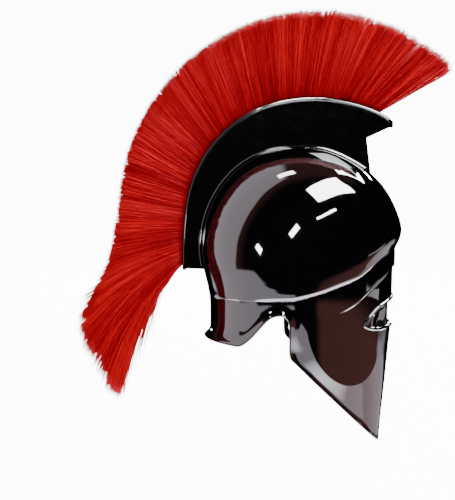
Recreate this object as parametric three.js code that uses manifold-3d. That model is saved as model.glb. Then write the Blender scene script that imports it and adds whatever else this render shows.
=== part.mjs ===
// A corinthian helmet of black finished sheet steel with a red horsehair crest.
// Millimetres. The wearer faces +X, +Y is the wearer's left and +Z is up. The origin is where
// the top of the head meets the inside of the bowl.

import * as THREE from 'three';
import { mergeVertices } from 'three/addons/utils/BufferGeometryUtils.js';
import Module from 'manifold-3d';

const wasm = await Module();
wasm.setup();

// Sheet and clearances
const WALL = 1.6;
const CREST_WALL = 1.4;
const CLEARANCE = 0.3;

// Bowl: how far it reaches from the crown, and how far the brow ridge lies below the crown
const BOWL_FRONT = 122;
const BOWL_BACK = 120;
const BOWL_HALF_WIDTH = 93;
const BOWL_CENTRE = 12;
const RIDGE_DROP_FRONT = 124.5;
const RIDGE_DROP_SIDE = 173.5;
const RIDGE_DROP_BACK = 177.5;

// Face and neck below the ridge
const FACE_FRONT = 113;
const FACE_HALF_WIDTH = 85;
const FACE_FULLNESS = 1.85;
const NECK_BACK = 109;
const NECK_FLARE = 4;
const NECK_FLARE_HEIGHT = 16;
const RIDGE_LIP = 0.4;
const BROW_PROUD = 2.6;
const EYEBROW_DROP_FRONT = 142.5;
const EYEBROW_DROP_SIDE = 198;
const EYEBROW_LEDGE = 3;

// Lower edge: depths below the crown, and places ahead of it
const NAPE_DROP = 227.5;
const ARCH_DROP = 190;
const CHEEK_CORNER_DROP = 246;
const CHEEK_DROP = 357.5;
const CHEEK_TIP_AHEAD = 98;
const CHEEK_REAR_AHEAD = -15;
const ARCH_WIDTH = 42;
const EDGE_ROLL_RADIUS = 1.7;
const EDGE_ROLL_INSET = 1;

// Eyes and the slit between the cheeks
const EYE_TOP_DROP = 179;
const EYE_HEIGHT = 35;
const EYE_CORNER = 54;
const SLIT_HALF_TOP = 11;
const SLIT_HALF_BOTTOM = 9;
const EYE_RIM_RADIUS = 2.2;

// Nose guard
const NOSE_ROOT_RISE = 13;
const NOSE_TOP_DROP = EYE_TOP_DROP - NOSE_ROOT_RISE;
const NOSE_LENGTH = 76;
const NOSE_HALF_WIDTH = 15;
const NOSE_DEPTH = 17;
const NOSE_SETBACK = 0.6;

// Crest box: reach from the crown, rise above it and drop behind it
const BOX_BACK = 140;
const BOX_FRONT = 106;
const BOX_RISE = 61;
const BOX_TAIL_DROP = 144;
const BOX_WIDTH = 24;
const BEAK_DEPTH = 7;
const BEAK_SLOPE = 0.42;
const WEB_TOP_AHEAD = 77;
const WEB_FOOT_AHEAD = 82;
const FOOT_RADIUS = 2.8;
const LIP_HEIGHT = 7.5;
const LIP_PROUD = 1.4;

// Plume
const HAIR_LENGTH = 110;
const TAIL_LENGTH = 180;
const HAIR_SPREAD = 21;
const LOCKS = 36;
const BAR_DEPTH = 13;
const UNEVEN_TIPS = 0.045;
const LOCK_WIDTH = 23;

// Where the bar of hair starts and ends, as shares of the crest box's top arc
const BAR_SHARES = { from: 0.035, to: 0.985 };

// Fineness of the faceted forms
const RING_SIDES = 36;
const BEAD_SIDES = 6;
const ARC_STEPS = 20;
const RIM_STEPS = 32;
const ROLL_STEPS = 40;
const FOOT_STEPS = 30;

const CROWN = WALL;

// Bowl rows by share of the drop to the ridge: shares of its reach in front, at the sides,
// behind the ears and at the back, and of the shift of its widest place behind the crown
const BOWL = [
  { at: 0, front: 0, side: 0, flank: 0, back: 0, centre: 0 },
  { at: 0.02, front: 0.19, side: 0.27, flank: 0.27, back: 0.27, centre: 0.05 },
  { at: 0.06, front: 0.33, side: 0.44, flank: 0.44, back: 0.45, centre: 0.15 },
  { at: 0.12, front: 0.46, side: 0.6, flank: 0.6, back: 0.6, centre: 0.3 },
  { at: 0.2, front: 0.6, side: 0.735, flank: 0.735, back: 0.728, centre: 0.5 },
  { at: 0.3, front: 0.73, side: 0.845, flank: 0.845, back: 0.838, centre: 0.7 },
  { at: 0.42, front: 0.835, side: 0.93, flank: 0.93, back: 0.925, centre: 0.87 },
  { at: 0.55, front: 0.912, side: 0.98, flank: 0.978, back: 0.978, centre: 0.96 },
  { at: 0.67, front: 0.964, side: 1, flank: 0.99, back: 1, centre: 1 },
  { at: 0.78, front: 0.998, side: 1.002, flank: 0.985, back: 0.984, centre: 1 },
  { at: 0.86, front: 0.99, side: 0.998, flank: 0.967, back: 0.955, centre: 1 },
  { at: 0.93, front: 0.955, side: 0.988, flank: 0.943, back: 0.929, centre: 1 },
  { at: 0.965, front: 0.937, side: 0.975, flank: 0.93, back: 0.918, centre: 1 },
  { at: 1, front: 0.926, side: 0.93, flank: 0.914, back: 0.908, centre: 1 },
];

// The ridge and the eyebrow by bearing from the front, as shares of the way from their front
// to their side height; the brow panel between them fades out towards the temple
const RIDGE = [
  { at: 0, down: 0, brow: 1 },
  { at: 20, down: 0, brow: 1 },
  { at: 30, down: 0.06, brow: 1 },
  { at: 37, down: 0.16, brow: 1 },
  { at: 45, down: 0.35, brow: 0.85 },
  { at: 52, down: 0.51, brow: 0.5 },
  { at: 65, down: 0.69, brow: 0 },
  { at: 78, down: 0.87, brow: 0 },
  { at: 90, down: 1, brow: 0 },
];
const EYEBROW = [
  { at: 0, down: 0 },
  { at: 16, down: 0 },
  { at: 28, down: 0.15 },
  { at: 37, down: 0.29 },
  { at: 45, down: 0.48 },
  { at: 53, down: 0.68 },
  { at: 65, down: 0.85 },
  { at: 90, down: 1 },
];

// Face and neck rows by share of the drop to the cheek tips
const FACE = [
  { at: 0.34, front: 0.988, side: 1, back: 1.003 },
  { at: 0.4, front: 0.985, side: 1, back: 1.003 },
  { at: 0.48, front: 0.982, side: 0.995, back: 1.001 },
  { at: 0.53, front: 0.98, side: 0.97, back: 0.991 },
  { at: 0.6, front: 0.98, side: 0.92, back: 0.989 },
  { at: 0.7, front: 0.955, side: 0.85, back: 0.992 },
  { at: 0.83, front: 0.927, side: 0.755, back: 0.992 },
  { at: 1, front: 0.886, side: 0.67, back: 0.992 },
];

// How low the raised sheet reaches at each bearing before its edge is cut, as a share of the
// drop to the cheek tips
const SKIRT = [
  { at: 0, down: 1.03 },
  { at: 30, down: 1.01 },
  { at: 45, down: 0.95 },
  { at: 60, down: 0.88 },
  { at: 75, down: 0.81 },
  { at: 90, down: 0.74 },
  { at: 105, down: 0.67 },
  { at: 180, down: 0.66 },
];
const FACE_ROWS = [0.1, 0.22, 0.35, 0.48, 0.61, 0.74, 0.87, 1];

// Nose guard rows from its root: shares of its length, half-width and depth, and how far its
// keel lies behind the face, in shares of its depth
const NOSE = [
  { at: 0, wide: 0.62, deep: 0.1, keel: 0 },
  { at: 0.16, wide: 0.55, deep: 0.2, keel: 0.02 },
  { at: 0.32, wide: 0.62, deep: 0.52, keel: 0.07 },
  { at: 0.6, wide: 0.93, deep: 0.95, keel: 0.1 },
  { at: 0.8, wide: 1, deep: 1, keel: 0.12 },
  { at: 0.93, wide: 0.75, deep: 0.78, keel: 0.2 },
  { at: 1, wide: 0.3, deep: 0.35, keel: 0.3 },
];

// Top arc of the crest box from its beak to its rear end: shares of its reach ahead (above
// zero) or behind, and of its rise above the crown (above zero) or drop below
const BOX_ARC = [
  { ahead: 1, up: 0.5 },
  { ahead: 0.915, up: 0.67 },
  { ahead: 0.623, up: 0.885 },
  { ahead: 0.264, up: 1 },
  { ahead: -0.071, up: 0.95 },
  { ahead: -0.336, up: 0.85 },
  { ahead: -0.543, up: 0.59 },
  { ahead: -0.679, up: 0.31 },
  { ahead: -0.821, up: -0.02 },
  { ahead: -0.914, up: -0.19 },
  { ahead: -0.964, up: -0.354 },
  { ahead: -1, up: -0.604 },
  { ahead: -1, up: -1 },
];

// Places of the box's foot line by share of the drop to the ridge, ahead of and behind the crown
const FOOT_SHARES = [
  { at: 0.225, ahead: true },
  { at: 0.18, ahead: true },
  { at: 0.13, ahead: true },
  { at: 0.09, ahead: true },
  { at: 0.055, ahead: true },
  { at: 0.025, ahead: true },
  { at: 0.012, ahead: true },
  { at: 0.03, ahead: false },
  { at: 0.07, ahead: false },
  { at: 0.13, ahead: false },
  { at: 0.21, ahead: false },
  { at: 0.31, ahead: false },
  { at: 0.42, ahead: false },
  { at: 0.54, ahead: false },
  { at: 0.67, ahead: false },
  { at: 0.8, ahead: false },
];

// Rows of one lock from root to tip: share of its width, half thickness and distance from the
// middle of the plume as shares of the plume's half thickness
const LOCK_ROWS = [
  { at: 0, wide: 0.7, thick: 0.36, apart: 0.1 },
  { at: 0.3, wide: 0.95, thick: 0.52, apart: 0.16 },
  { at: 0.64, wide: 1.15, thick: 0.66, apart: 0.26 },
  { at: 0.87, wide: 0.85, thick: 0.5, apart: 0.32 },
  { at: 1, wide: 0.12, thick: 0.08, apart: 0.3 },
];

// Locks in their order from the beak to the tail: root as a share of the arc, length as a
// share of the hair's length plus a share of the tail's, bearing of the tip seen from the root
// in degrees above straight ahead, and how far the lock first stands out before it falls
const HAIR = [
  { at: 0, root: 0.055, hair: 0.98, tail: 0, bearing: 34, bend: 0 },
  { at: 0.07, root: 0.1, hair: 0.97, tail: 0, bearing: 48, bend: 0.1 },
  { at: 0.18, root: 0.21, hair: 1, tail: 0, bearing: 71, bend: 0.1 },
  { at: 0.3, root: 0.34, hair: 0.98, tail: 0, bearing: 92, bend: 0.1 },
  { at: 0.42, root: 0.46, hair: 0.93, tail: 0, bearing: 108, bend: 0.1 },
  { at: 0.51, root: 0.56, hair: 0.9, tail: 0, bearing: 121, bend: 0.12 },
  { at: 0.6, root: 0.66, hair: 0.85, tail: 0, bearing: 139, bend: 0.14 },
  { at: 0.69, root: 0.76, hair: 0.82, tail: 0, bearing: 157, bend: 0.18 },
  { at: 0.78, root: 0.86, hair: 0.8, tail: 0, bearing: 177, bend: 0.25 },
  { at: 0.86, root: 0.925, hair: 0.6, tail: 0.22, bearing: 200, bend: 0.35 },
  { at: 0.93, root: 0.955, hair: 0.3, tail: 0.66, bearing: 216, bend: 0.4 },
  { at: 1, root: 0.975, hair: 0, tail: 1, bearing: 239, bend: 0.4 },
];

// Reads a column of a table between its rows along a smooth curve
function read(table, key, at) {
  const last = table.length - 1;
  if (at <= table[0].at) return table[0][key];
  if (at >= table[last].at) return table[last][key];
  let row = 0;
  while (table[row + 1].at < at) row += 1;
  const slope = (index) => {
    const low = table[Math.max(index - 1, 0)];
    const high = table[Math.min(index + 1, last)];
    return (high[key] - low[key]) / (high.at - low.at);
  };
  const span = table[row + 1].at - table[row].at;
  const part = (at - table[row].at) / span;
  const rise = table[row + 1][key] - table[row][key];
  const start = slope(row) * span;
  const end = slope(row + 1) * span;
  const bend = 3 * rise - 2 * start - end;
  const twist = start + end - 2 * rise;
  return table[row][key] + part * (start + part * (bend + part * twist));
}

// Bearing from the front, 0 to 180, whichever side it lies on
function fold(bearing) {
  const turned = ((bearing % 360) + 360) % 360;
  return turned > 180 ? 360 - turned : turned;
}

function ridgeDrop(bearing) {
  const turned = fold(bearing);
  const behind = Math.max(turned - 90, 0) / 90;
  const side = RIDGE_DROP_SIDE + (RIDGE_DROP_BACK - RIDGE_DROP_SIDE) * behind;
  return RIDGE_DROP_FRONT + (side - RIDGE_DROP_FRONT) * read(RIDGE, 'down', turned);
}

function eyebrowDrop(bearing) {
  const down = read(EYEBROW, 'down', fold(bearing));
  return EYEBROW_DROP_FRONT + (EYEBROW_DROP_SIDE - EYEBROW_DROP_FRONT) * down;
}

// A point of an egg-shaped level section
function sectionPoint(bearing, centre, front, back, halfWidth, fullness, z) {
  const turned = THREE.MathUtils.degToRad(bearing);
  const cos = Math.cos(turned);
  const sin = Math.sin(turned);
  const along = Math.abs(cos) ** (2 / fullness);
  const across = Math.sign(sin) * Math.abs(sin) ** (2 / fullness) * halfWidth;
  const x = cos > 0 ? centre + (front - centre) * along : centre - (centre + back) * along;
  return new THREE.Vector3(x, across, z);
}

// A point of the bowl at a share of the drop from the crown to the ridge
function bowlPoint(bearing, share) {
  const behindEar = THREE.MathUtils.smoothstep(fold(bearing), 88, 122);
  const side = read(BOWL, 'side', share);
  const flank = read(BOWL, 'flank', share);
  const centre = -BOWL_CENTRE * read(BOWL, 'centre', share);
  const front = BOWL_FRONT * read(BOWL, 'front', share);
  const back = BOWL_BACK * read(BOWL, 'back', share);
  const halfWidth = BOWL_HALF_WIDTH * (side + (flank - side) * behindEar);
  return sectionPoint(bearing, centre, front, back, halfWidth, 2, CROWN - share * ridgeDrop(bearing));
}

// A point of the face, cheeks or neck at a height
function facePoint(bearing, z) {
  const share = (CROWN - z) / CHEEK_DROP;
  const turned = fold(bearing);
  const aboveBrow = z > CROWN - eyebrowDrop(bearing) - EYEBROW_LEDGE / 2;
  const proud = aboveBrow ? BROW_PROUD * read(RIDGE, 'brow', turned) : 0;
  const aboveNape = (z - (CROWN - NAPE_DROP)) / NECK_FLARE_HEIGHT;
  const nape = THREE.MathUtils.smoothstep(turned, 100, 135);
  const flare = NECK_FLARE * Math.max(1 - Math.max(aboveNape, 0), 0) ** 2 * nape;
  const front = FACE_FRONT * read(FACE, 'front', share) + proud;
  const halfWidth = FACE_HALF_WIDTH * read(FACE, 'side', share) + proud + flare;
  const back = NECK_BACK * read(FACE, 'back', share) + flare;
  const forward = 1 - THREE.MathUtils.smoothstep(turned, 60, 90);
  const fullness = 2 + (FACE_FULLNESS - 2) * forward;
  return sectionPoint(bearing, -BOWL_CENTRE, front, back, halfWidth, fullness, z);
}

// Level rings of the outer surface, from just under the crown to below the lower edge
function helmetRings() {
  const rings = BOWL.slice(1).map((row) => (bearing) => bowlPoint(bearing, row.at));
  const browRows = [
    (bearing) => ridgeDrop(bearing) + RIDGE_LIP,
    (bearing) => (ridgeDrop(bearing) + eyebrowDrop(bearing)) / 2,
    (bearing) => eyebrowDrop(bearing),
  ];
  for (const drop of browRows) {
    rings.push((bearing) => facePoint(bearing, CROWN - drop(bearing)));
  }
  for (const row of [0, ...FACE_ROWS]) {
    rings.push((bearing) => {
      const top = eyebrowDrop(bearing) + EYEBROW_LEDGE;
      const bottom = CHEEK_DROP * read(SKIRT, 'down', fold(bearing));
      return facePoint(bearing, CROWN - top - (bottom - top) * row);
    });
  }
  const bearings = Array.from({ length: RING_SIDES }, (_, index) => (index * 360) / RING_SIDES);
  return rings.map((ring) => bearings.map(ring));
}

// Moves every point of the rings along the surface's outward normal
function offsetRings(rings, distance) {
  const crown = new THREE.Vector3(0, 0, CROWN);
  return rings.map((ring, level) => ring.map((point, index) => {
    const above = level > 0 ? rings[level - 1][index] : crown;
    const below = rings[Math.min(level + 1, rings.length - 1)][index];
    const next = ring[(index + 1) % ring.length];
    const previous = ring[(index + ring.length - 1) % ring.length];
    const down = below.clone().sub(above);
    const round = next.clone().sub(previous);
    const normal = down.cross(round).normalize();
    return point.clone().addScaledVector(normal, distance);
  }));
}

// A closed solid from stacked rings that run anticlockwise seen from above, from the top down
function stack(rings, top, bottom) {
  const sides = rings[0].length;
  const vertices = [top, ...rings.flat(), bottom];
  const triangles = [];
  const at = (level, index) => 1 + level * sides + (index % sides);
  for (let index = 0; index < sides; index += 1) {
    triangles.push(0, at(0, index), at(0, index + 1));
    for (let level = 0; level < rings.length - 1; level += 1) {
      triangles.push(at(level, index), at(level + 1, index), at(level + 1, index + 1));
      triangles.push(at(level, index), at(level + 1, index + 1), at(level, index + 1));
    }
    const last = rings.length - 1;
    triangles.push(vertices.length - 1, at(last, index + 1), at(last, index));
  }
  const geometry = new THREE.BufferGeometry().setFromPoints(vertices);
  geometry.setIndex(triangles);
  return geometry;
}

// A closed solid through rings of points that run anticlockwise seen from the first ring's
// outer side, with its ends filled by the given faces
function loft(rings, ends) {
  const vertices = rings.flat();
  const triangles = [];
  const sides = rings[0].length;
  const last = rings.length - 1;
  const at = (level, index) => level * sides + (index % sides);
  for (let level = 0; level < last; level += 1) {
    for (let index = 0; index < sides; index += 1) {
      triangles.push(at(level, index), at(level + 1, index), at(level + 1, index + 1));
      triangles.push(at(level, index), at(level + 1, index + 1), at(level, index + 1));
    }
  }
  for (const face of ends) {
    triangles.push(...face.map((index) => at(0, index)));
    triangles.push(...face.map((index) => at(last, index)).reverse());
  }
  const geometry = new THREE.BufferGeometry().setFromPoints(vertices);
  geometry.setIndex(triangles);
  return geometry;
}

// Turns a closed geometry into a solid that can be joined and cut
function solid(geometry) {
  const bare = geometry.clone();
  bare.deleteAttribute('normal');
  bare.deleteAttribute('uv');
  const merged = mergeVertices(bare, 1e-4);
  return new wasm.Manifold(new wasm.Mesh({
    numProp: 3,
    vertProperties: new Float32Array(merged.attributes.position.array),
    triVerts: new Uint32Array(merged.index.array),
  }));
}

// Turns a solid back into a named mesh
function mesh(name, body, finish) {
  const result = body.getMesh();
  const geometry = new THREE.BufferGeometry();
  geometry.setAttribute('position', new THREE.BufferAttribute(result.vertProperties, 3));
  geometry.setIndex(new THREE.BufferAttribute(result.triVerts, 1));
  geometry.computeVertexNormals();
  const part = new THREE.Mesh(geometry, finish);
  part.name = name;
  return part;
}

// The helmet's outer form as a solid, grown or shrunk by a distance, reaching on below its
// skirt by a length
function helmetForm(distance, below) {
  const rings = offsetRings(helmetRings(), distance);
  const lowest = rings[rings.length - 1];
  if (below > 0) rings.push(lowest.map((point) => point.clone().setZ(point.z - below)));
  const floor = CROWN - CHEEK_DROP * read(SKIRT, 'down', 180) - below;
  const bottom = new THREE.Vector3(-BOWL_CENTRE, 0, floor);
  return solid(stack(rings, new THREE.Vector3(0, 0, CROWN + distance), bottom));
}

// A side-view outline extruded to a width across the helmet
function acrossY(shape, width) {
  const geometry = new THREE.ExtrudeGeometry(shape, { depth: width, bevelEnabled: false });
  geometry.rotateX(Math.PI / 2);
  geometry.translate(0, width / 2, 0);
  return solid(geometry);
}

// A front-view outline extruded forwards from the middle of the helmet
function forwards(shape, length) {
  const geometry = new THREE.ExtrudeGeometry(shape, { depth: length, bevelEnabled: false });
  geometry.rotateX(Math.PI / 2);
  geometry.rotateZ(Math.PI / 2);
  return solid(geometry);
}

// A round bead along a curve through points
function bead(points, radius, steps) {
  const section = new THREE.Shape().absarc(0, 0, radius, 0, 2 * Math.PI);
  const extrudePath = new THREE.CatmullRomCurve3(points, false, 'centripetal');
  const settings = { steps, extrudePath, curveSegments: BEAD_SIDES / 2, bevelEnabled: false };
  return solid(new THREE.ExtrudeGeometry(section, settings));
}

// The bearing between two bearings at which a measure that rises from one to the other
// reaches a value
function solve(measure, value, from, to) {
  let low = from;
  let high = to;
  for (let turn = 0; turn < 40; turn += 1) {
    const middle = (low + high) / 2;
    if (measure(middle) < value) low = middle;
    else high = middle;
  }
  return (low + high) / 2;
}

// The point of the face or neck on the wearer's left that lies straight beside a place of the
// side view
function besidePoint(x, z) {
  const bearing = solve((turned) => -facePoint(turned, z).x, -x, 0, 180);
  return facePoint(bearing, z);
}

// The point of the face that lies straight ahead of a place of the front view
function aheadPoint(y, z) {
  const bearing = solve((turned) => facePoint(turned, z).y, y, 0, 89);
  return facePoint(bearing, z);
}

// The lower edge in side view, from the nape round the arch to the cheek tip
function lowerEdge() {
  const nape = CROWN - NAPE_DROP;
  const arch = CROWN - ARCH_DROP;
  const corner = CROWN - CHEEK_CORNER_DROP;
  const rear = CHEEK_REAR_AHEAD;
  const back = rear - ARCH_WIDTH;
  const rise = arch - nape;
  const path = new THREE.Path();
  path.moveTo(-NECK_BACK - NECK_FLARE, nape);
  path.lineTo(back - ARCH_WIDTH * 0.5, nape - rise * 0.05);
  path.bezierCurveTo(back - ARCH_WIDTH * 0.2, nape - rise * 0.1, back, nape + rise * 0.3,
    back + ARCH_WIDTH * 0.3, nape + rise * 0.72);
  path.quadraticCurveTo(back + ARCH_WIDTH * 0.5, arch, back + ARCH_WIDTH * 0.72, arch);
  path.quadraticCurveTo(rear, arch, rear, arch - rise * 0.45);
  path.lineTo(rear, corner + rise * 0.35);
  path.quadraticCurveTo(rear, corner + rise * 0.1, rear + rise * 0.12, corner);
  path.lineTo(CHEEK_TIP_AHEAD, CROWN - CHEEK_DROP);
  return path;
}

// The opening of the face in front view on the wearer's left, from the nose root round the
// eye to the top of the slit
function eyeEdge() {
  const top = CROWN - EYE_TOP_DROP;
  const path = new THREE.Path();
  path.moveTo(0, top);
  const at = (across, down) => [EYE_CORNER * across, top - EYE_HEIGHT * down];
  path.bezierCurveTo(...at(0.3, 0.02), ...at(0.55, 0.1), ...at(0.76, 0.22));
  path.bezierCurveTo(...at(0.92, 0.4), ...at(1.02, 0.68), ...at(1, 0.82));
  path.quadraticCurveTo(...at(0.9, 1), ...at(0.62, 1));
  path.lineTo(SLIT_HALF_TOP, top - EYE_HEIGHT * 0.97);
  return path;
}

// Everything below the lower edge, to be cut away
function belowEdge() {
  const reach = 2 * BOWL_FRONT;
  const edge = lowerEdge();
  const outline = new THREE.Shape([
    new THREE.Vector2(-reach, CROWN - NAPE_DROP),
    ...edge.getPoints(5),
    new THREE.Vector2(reach, CROWN - CHEEK_DROP),
    new THREE.Vector2(reach, -2 * CHEEK_DROP),
    new THREE.Vector2(-reach, -2 * CHEEK_DROP),
  ]);
  return acrossY(outline, 4 * BOWL_HALF_WIDTH);
}

// The eyes and the slit as one opening through the face
function faceOpening() {
  const left = eyeEdge().getPoints(6);
  left.push(new THREE.Vector2(SLIT_HALF_BOTTOM, CROWN - CHEEK_DROP * 1.1));
  const right = left.slice(1).reverse().map((point) => new THREE.Vector2(-point.x, point.y));
  return forwards(new THREE.Shape([...left, ...right]), 2 * BOWL_FRONT);
}

// Follows an edge on the wearer's left and comes back along its mirror image on the right
function bothSides(points) {
  const mirrored = points.map((point) => new THREE.Vector3(point.x, -point.y, point.z));
  return [...mirrored.reverse(), ...points.filter((point) => point.y > 0.01)];
}

// Raised bead round the eyes
function eyeRim() {
  const points = eyeEdge().getPoints(4).map((point) => aheadPoint(point.x, point.y));
  return bead(bothSides(points), EYE_RIM_RADIUS, RIM_STEPS);
}

// Rolled bead along the lower edge, from one cheek tip round the nape to the other
function edgeRoll() {
  const corners = lowerEdge().getPoints(4).slice(1);
  const points = corners.map((point) => besidePoint(point.x, point.y));
  const nape = facePoint(180, CROWN - NAPE_DROP);
  const nearTip = points.pop().lerp(points[points.length - 1], 0.03);
  const run = [nape, ...points, nearTip];
  const inward = run.map((point) => point.clone().setZ(point.z + EDGE_ROLL_INSET));
  return bead(bothSides(inward), EDGE_ROLL_RADIUS, ROLL_STEPS);
}

const RED_HAIR = { color: 0xc8101a, roughness: 0.7, metalness: 0 };
const BLACK_STEEL = { color: 0x0b0b0d, roughness: 0.12, metalness: 0.6 };

// The whole sheet: hollow, cut along its lower edge and opened for the eyes
function helmetShell() {
  const outer = helmetForm(0, 0);
  const hollow = helmetForm(-WALL, CHEEK_DROP);
  const shell = outer.subtract(hollow).add(edgeRoll()).subtract(belowEdge());
  const opened = shell.add(eyeRim()).subtract(faceOpening());
  return mesh('helmet_shell', opened, new THREE.MeshStandardMaterial(BLACK_STEEL));
}

// Ridged plate between the eyes, seated behind the brow
function noseGuard() {
  const rings = NOSE.map((row) => {
    const z = CROWN - NOSE_TOP_DROP - row.at * NOSE_LENGTH;
    const face = FACE_FRONT * read(FACE, 'front', (CROWN - z) / CHEEK_DROP);
    const keel = face - WALL - NOSE_SETBACK - row.keel * NOSE_DEPTH;
    const halfWidth = NOSE_HALF_WIDTH * row.wide;
    const depth = NOSE_DEPTH * row.deep;
    const shoulder = keel - depth * 0.35;
    const left = [
      [shoulder, halfWidth * 0.5],
      [keel - depth, halfWidth],
      [keel - depth - WALL, halfWidth - WALL * 0.5],
      [shoulder - WALL * 1.3, halfWidth * 0.42],
    ];
    const right = left.map(([x, y]) => [x, -y]).reverse();
    const outline = [[keel, 0], ...left, [keel - WALL * 1.4, 0], ...right];
    return outline.map(([x, y]) => new THREE.Vector3(x, y, z));
  });
  const flat = rings[0].map((point) => new THREE.Vector2(point.x, point.y));
  const ends = THREE.ShapeUtils.triangulateShape(flat, []);
  return mesh('nose_guard', solid(loft(rings, ends)), new THREE.MeshStandardMaterial(BLACK_STEEL));
}

// The top arc of the crest box in side view, from the beak to the rear end
const boxArc = new THREE.SplineCurve(BOX_ARC.map(({ ahead, up }) => new THREE.Vector2(
  ahead * (ahead > 0 ? BOX_FRONT : BOX_BACK),
  up * (up > 0 ? BOX_RISE : BOX_TAIL_DROP),
)));

// A point of the arc moved outwards, at a share of its length
function arcPoint(share, outwards) {
  const place = boxArc.getPointAt(share);
  const tangent = boxArc.getTangentAt(share);
  return new THREE.Vector2(place.x + tangent.y * outwards, place.y - tangent.x * outwards);
}

// A band along the arc between two depths below it, given at its front and at its rear
function arcBand(from, to, outer, depthFront, depthRear) {
  const steps = Array.from({ length: ARC_STEPS + 1 }, (_, index) => index / ARC_STEPS);
  const share = (step) => from + (to - from) * step;
  const top = steps.map((step) => arcPoint(share(step), outer));
  const depth = (step) => depthFront + (depthRear - depthFront) * step;
  const foot = steps.map((step) => arcPoint(share(step), -depth(step)));
  return new THREE.Shape([...top, ...foot.reverse()]);
}

// The side of the crest box, from its arc down into the bowl, which then trims it; the arc
// may be grown outwards
function boxOutline(grown) {
  const steps = Array.from({ length: ARC_STEPS + 1 }, (_, index) => index / ARC_STEPS);
  const arc = steps.map((step) => arcPoint(step, grown));
  const beakTop = arcPoint(0, 0);
  const webTop = beakTop.y - BEAK_DEPTH - (BOX_FRONT - WEB_TOP_AHEAD) * BEAK_SLOPE;
  return new THREE.Shape([
    ...arc,
    new THREE.Vector2(-BOWL_BACK * 0.8, -BOX_TAIL_DROP - 2),
    new THREE.Vector2(-BOWL_BACK * 0.5, -RIDGE_DROP_FRONT * 0.5),
    new THREE.Vector2(WEB_FOOT_AHEAD + 4, -RIDGE_DROP_FRONT * 0.5),
    new THREE.Vector2(WEB_TOP_AHEAD, webTop),
    new THREE.Vector2(BOX_FRONT - BEAK_DEPTH * 0.4, beakTop.y - BEAK_DEPTH),
  ]);
}

// The room inside the crest box, open at the top, and kept clear of its ends by an inset
function boxChannel(inset) {
  const reach = 2 * BOX_BACK;
  const beakTop = arcPoint(0, 0);
  const webTop = beakTop.y - BEAK_DEPTH - (BOX_FRONT - WEB_TOP_AHEAD) * BEAK_SLOPE;
  const front = BOX_FRONT - BEAK_DEPTH * 0.8 - inset;
  const floor = CREST_WALL - BOX_TAIL_DROP + inset;
  return new THREE.Shape([
    new THREE.Vector2(front, reach),
    new THREE.Vector2(-reach, reach),
    new THREE.Vector2(-reach, floor),
    new THREE.Vector2(-BOWL_BACK * 0.8, floor),
    new THREE.Vector2(-BOWL_BACK * 0.5, -RIDGE_DROP_FRONT * 0.6),
    new THREE.Vector2(WEB_FOOT_AHEAD + 4 - CREST_WALL, -RIDGE_DROP_FRONT * 0.6),
    new THREE.Vector2(WEB_TOP_AHEAD - CREST_WALL, webTop + CREST_WALL),
    new THREE.Vector2(front, beakTop.y - BEAK_DEPTH + CREST_WALL),
  ]);
}

// The line on the wearer's left where the side of the box meets the bowl, from the web to
// the rear end
function footLine() {
  const half = BOX_WIDTH / 2;
  const ahead = FOOT_SHARES.filter(({ ahead: side }) => side).map(({ at }) => {
    const bearing = solve((turned) => bowlPoint(turned, at).y, half, 0, 90);
    return bowlPoint(bearing, at);
  });
  const behind = FOOT_SHARES.filter(({ ahead: side }) => !side).map(({ at }) => {
    const bearing = solve((turned) => -bowlPoint(turned, at).y, -half, 90, 180);
    return bowlPoint(bearing, at);
  });
  return [...ahead, ...behind];
}

// Crest box with its rounded foot, seated just clear of the bowl
function crestBox() {
  const sides = acrossY(boxOutline(0), BOX_WIDTH);
  const channel = acrossY(boxChannel(0), BOX_WIDTH - 2 * CREST_WALL);
  const front = bowlPoint(0, FOOT_SHARES[0].at);
  const foot = bead(bothSides([front, ...footLine()]), FOOT_RADIUS, FOOT_STEPS);
  const box = sides.add(foot).subtract(channel).subtract(helmetForm(CLEARANCE, 0));
  return mesh('crest_box', box, new THREE.MeshStandardMaterial(BLACK_STEEL));
}

// The closed rear end of the lip in side view, which may be grown outwards
function lipHeel(grown) {
  const end = arcPoint(1, 0);
  const back = end.x - LIP_PROUD / 2 - grown;
  const front = end.x + LIP_HEIGHT * 0.5;
  const foot = end.y - CLEARANCE - LIP_PROUD - grown;
  const top = end.y + LIP_HEIGHT;
  return new THREE.Shape([
    new THREE.Vector2(back, top),
    new THREE.Vector2(back, foot),
    new THREE.Vector2(front, foot),
    new THREE.Vector2(front, top),
  ]);
}

// Folded band round the top of the crest box, closed at the beak and at the rear
function crestLip() {
  const cover = CLEARANCE + LIP_PROUD;
  const band = arcBand(0, 1, LIP_PROUD / 2, LIP_HEIGHT, LIP_HEIGHT * 0.5);
  const beak = arcPoint(0, 0);
  const tip = new THREE.Shape([
    new THREE.Vector2(beak.x - BEAK_DEPTH, beak.y + LIP_PROUD / 2),
    new THREE.Vector2(beak.x - BEAK_DEPTH, beak.y - BEAK_DEPTH),
    new THREE.Vector2(beak.x + cover, beak.y - BEAK_DEPTH),
    new THREE.Vector2(beak.x + cover, beak.y + LIP_PROUD / 2),
  ]);
  const end = arcPoint(1, 0);
  const heel = lipHeel(0);
  const width = BOX_WIDTH + 2 * cover;
  const reach = 2 * BOX_BACK;
  const inside = new THREE.Shape([
    new THREE.Vector2(beak.x + CLEARANCE, reach),
    new THREE.Vector2(-reach, reach),
    new THREE.Vector2(-reach, end.y - CLEARANCE),
    new THREE.Vector2(beak.x + CLEARANCE, end.y - CLEARANCE),
  ]);
  const whole = acrossY(band, width).add(acrossY(tip, width)).add(acrossY(heel, width));
  const lip = whole.subtract(acrossY(inside, BOX_WIDTH + 2 * CLEARANCE));
  return mesh('crest_lip', lip, new THREE.MeshStandardMaterial(BLACK_STEEL));
}

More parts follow.
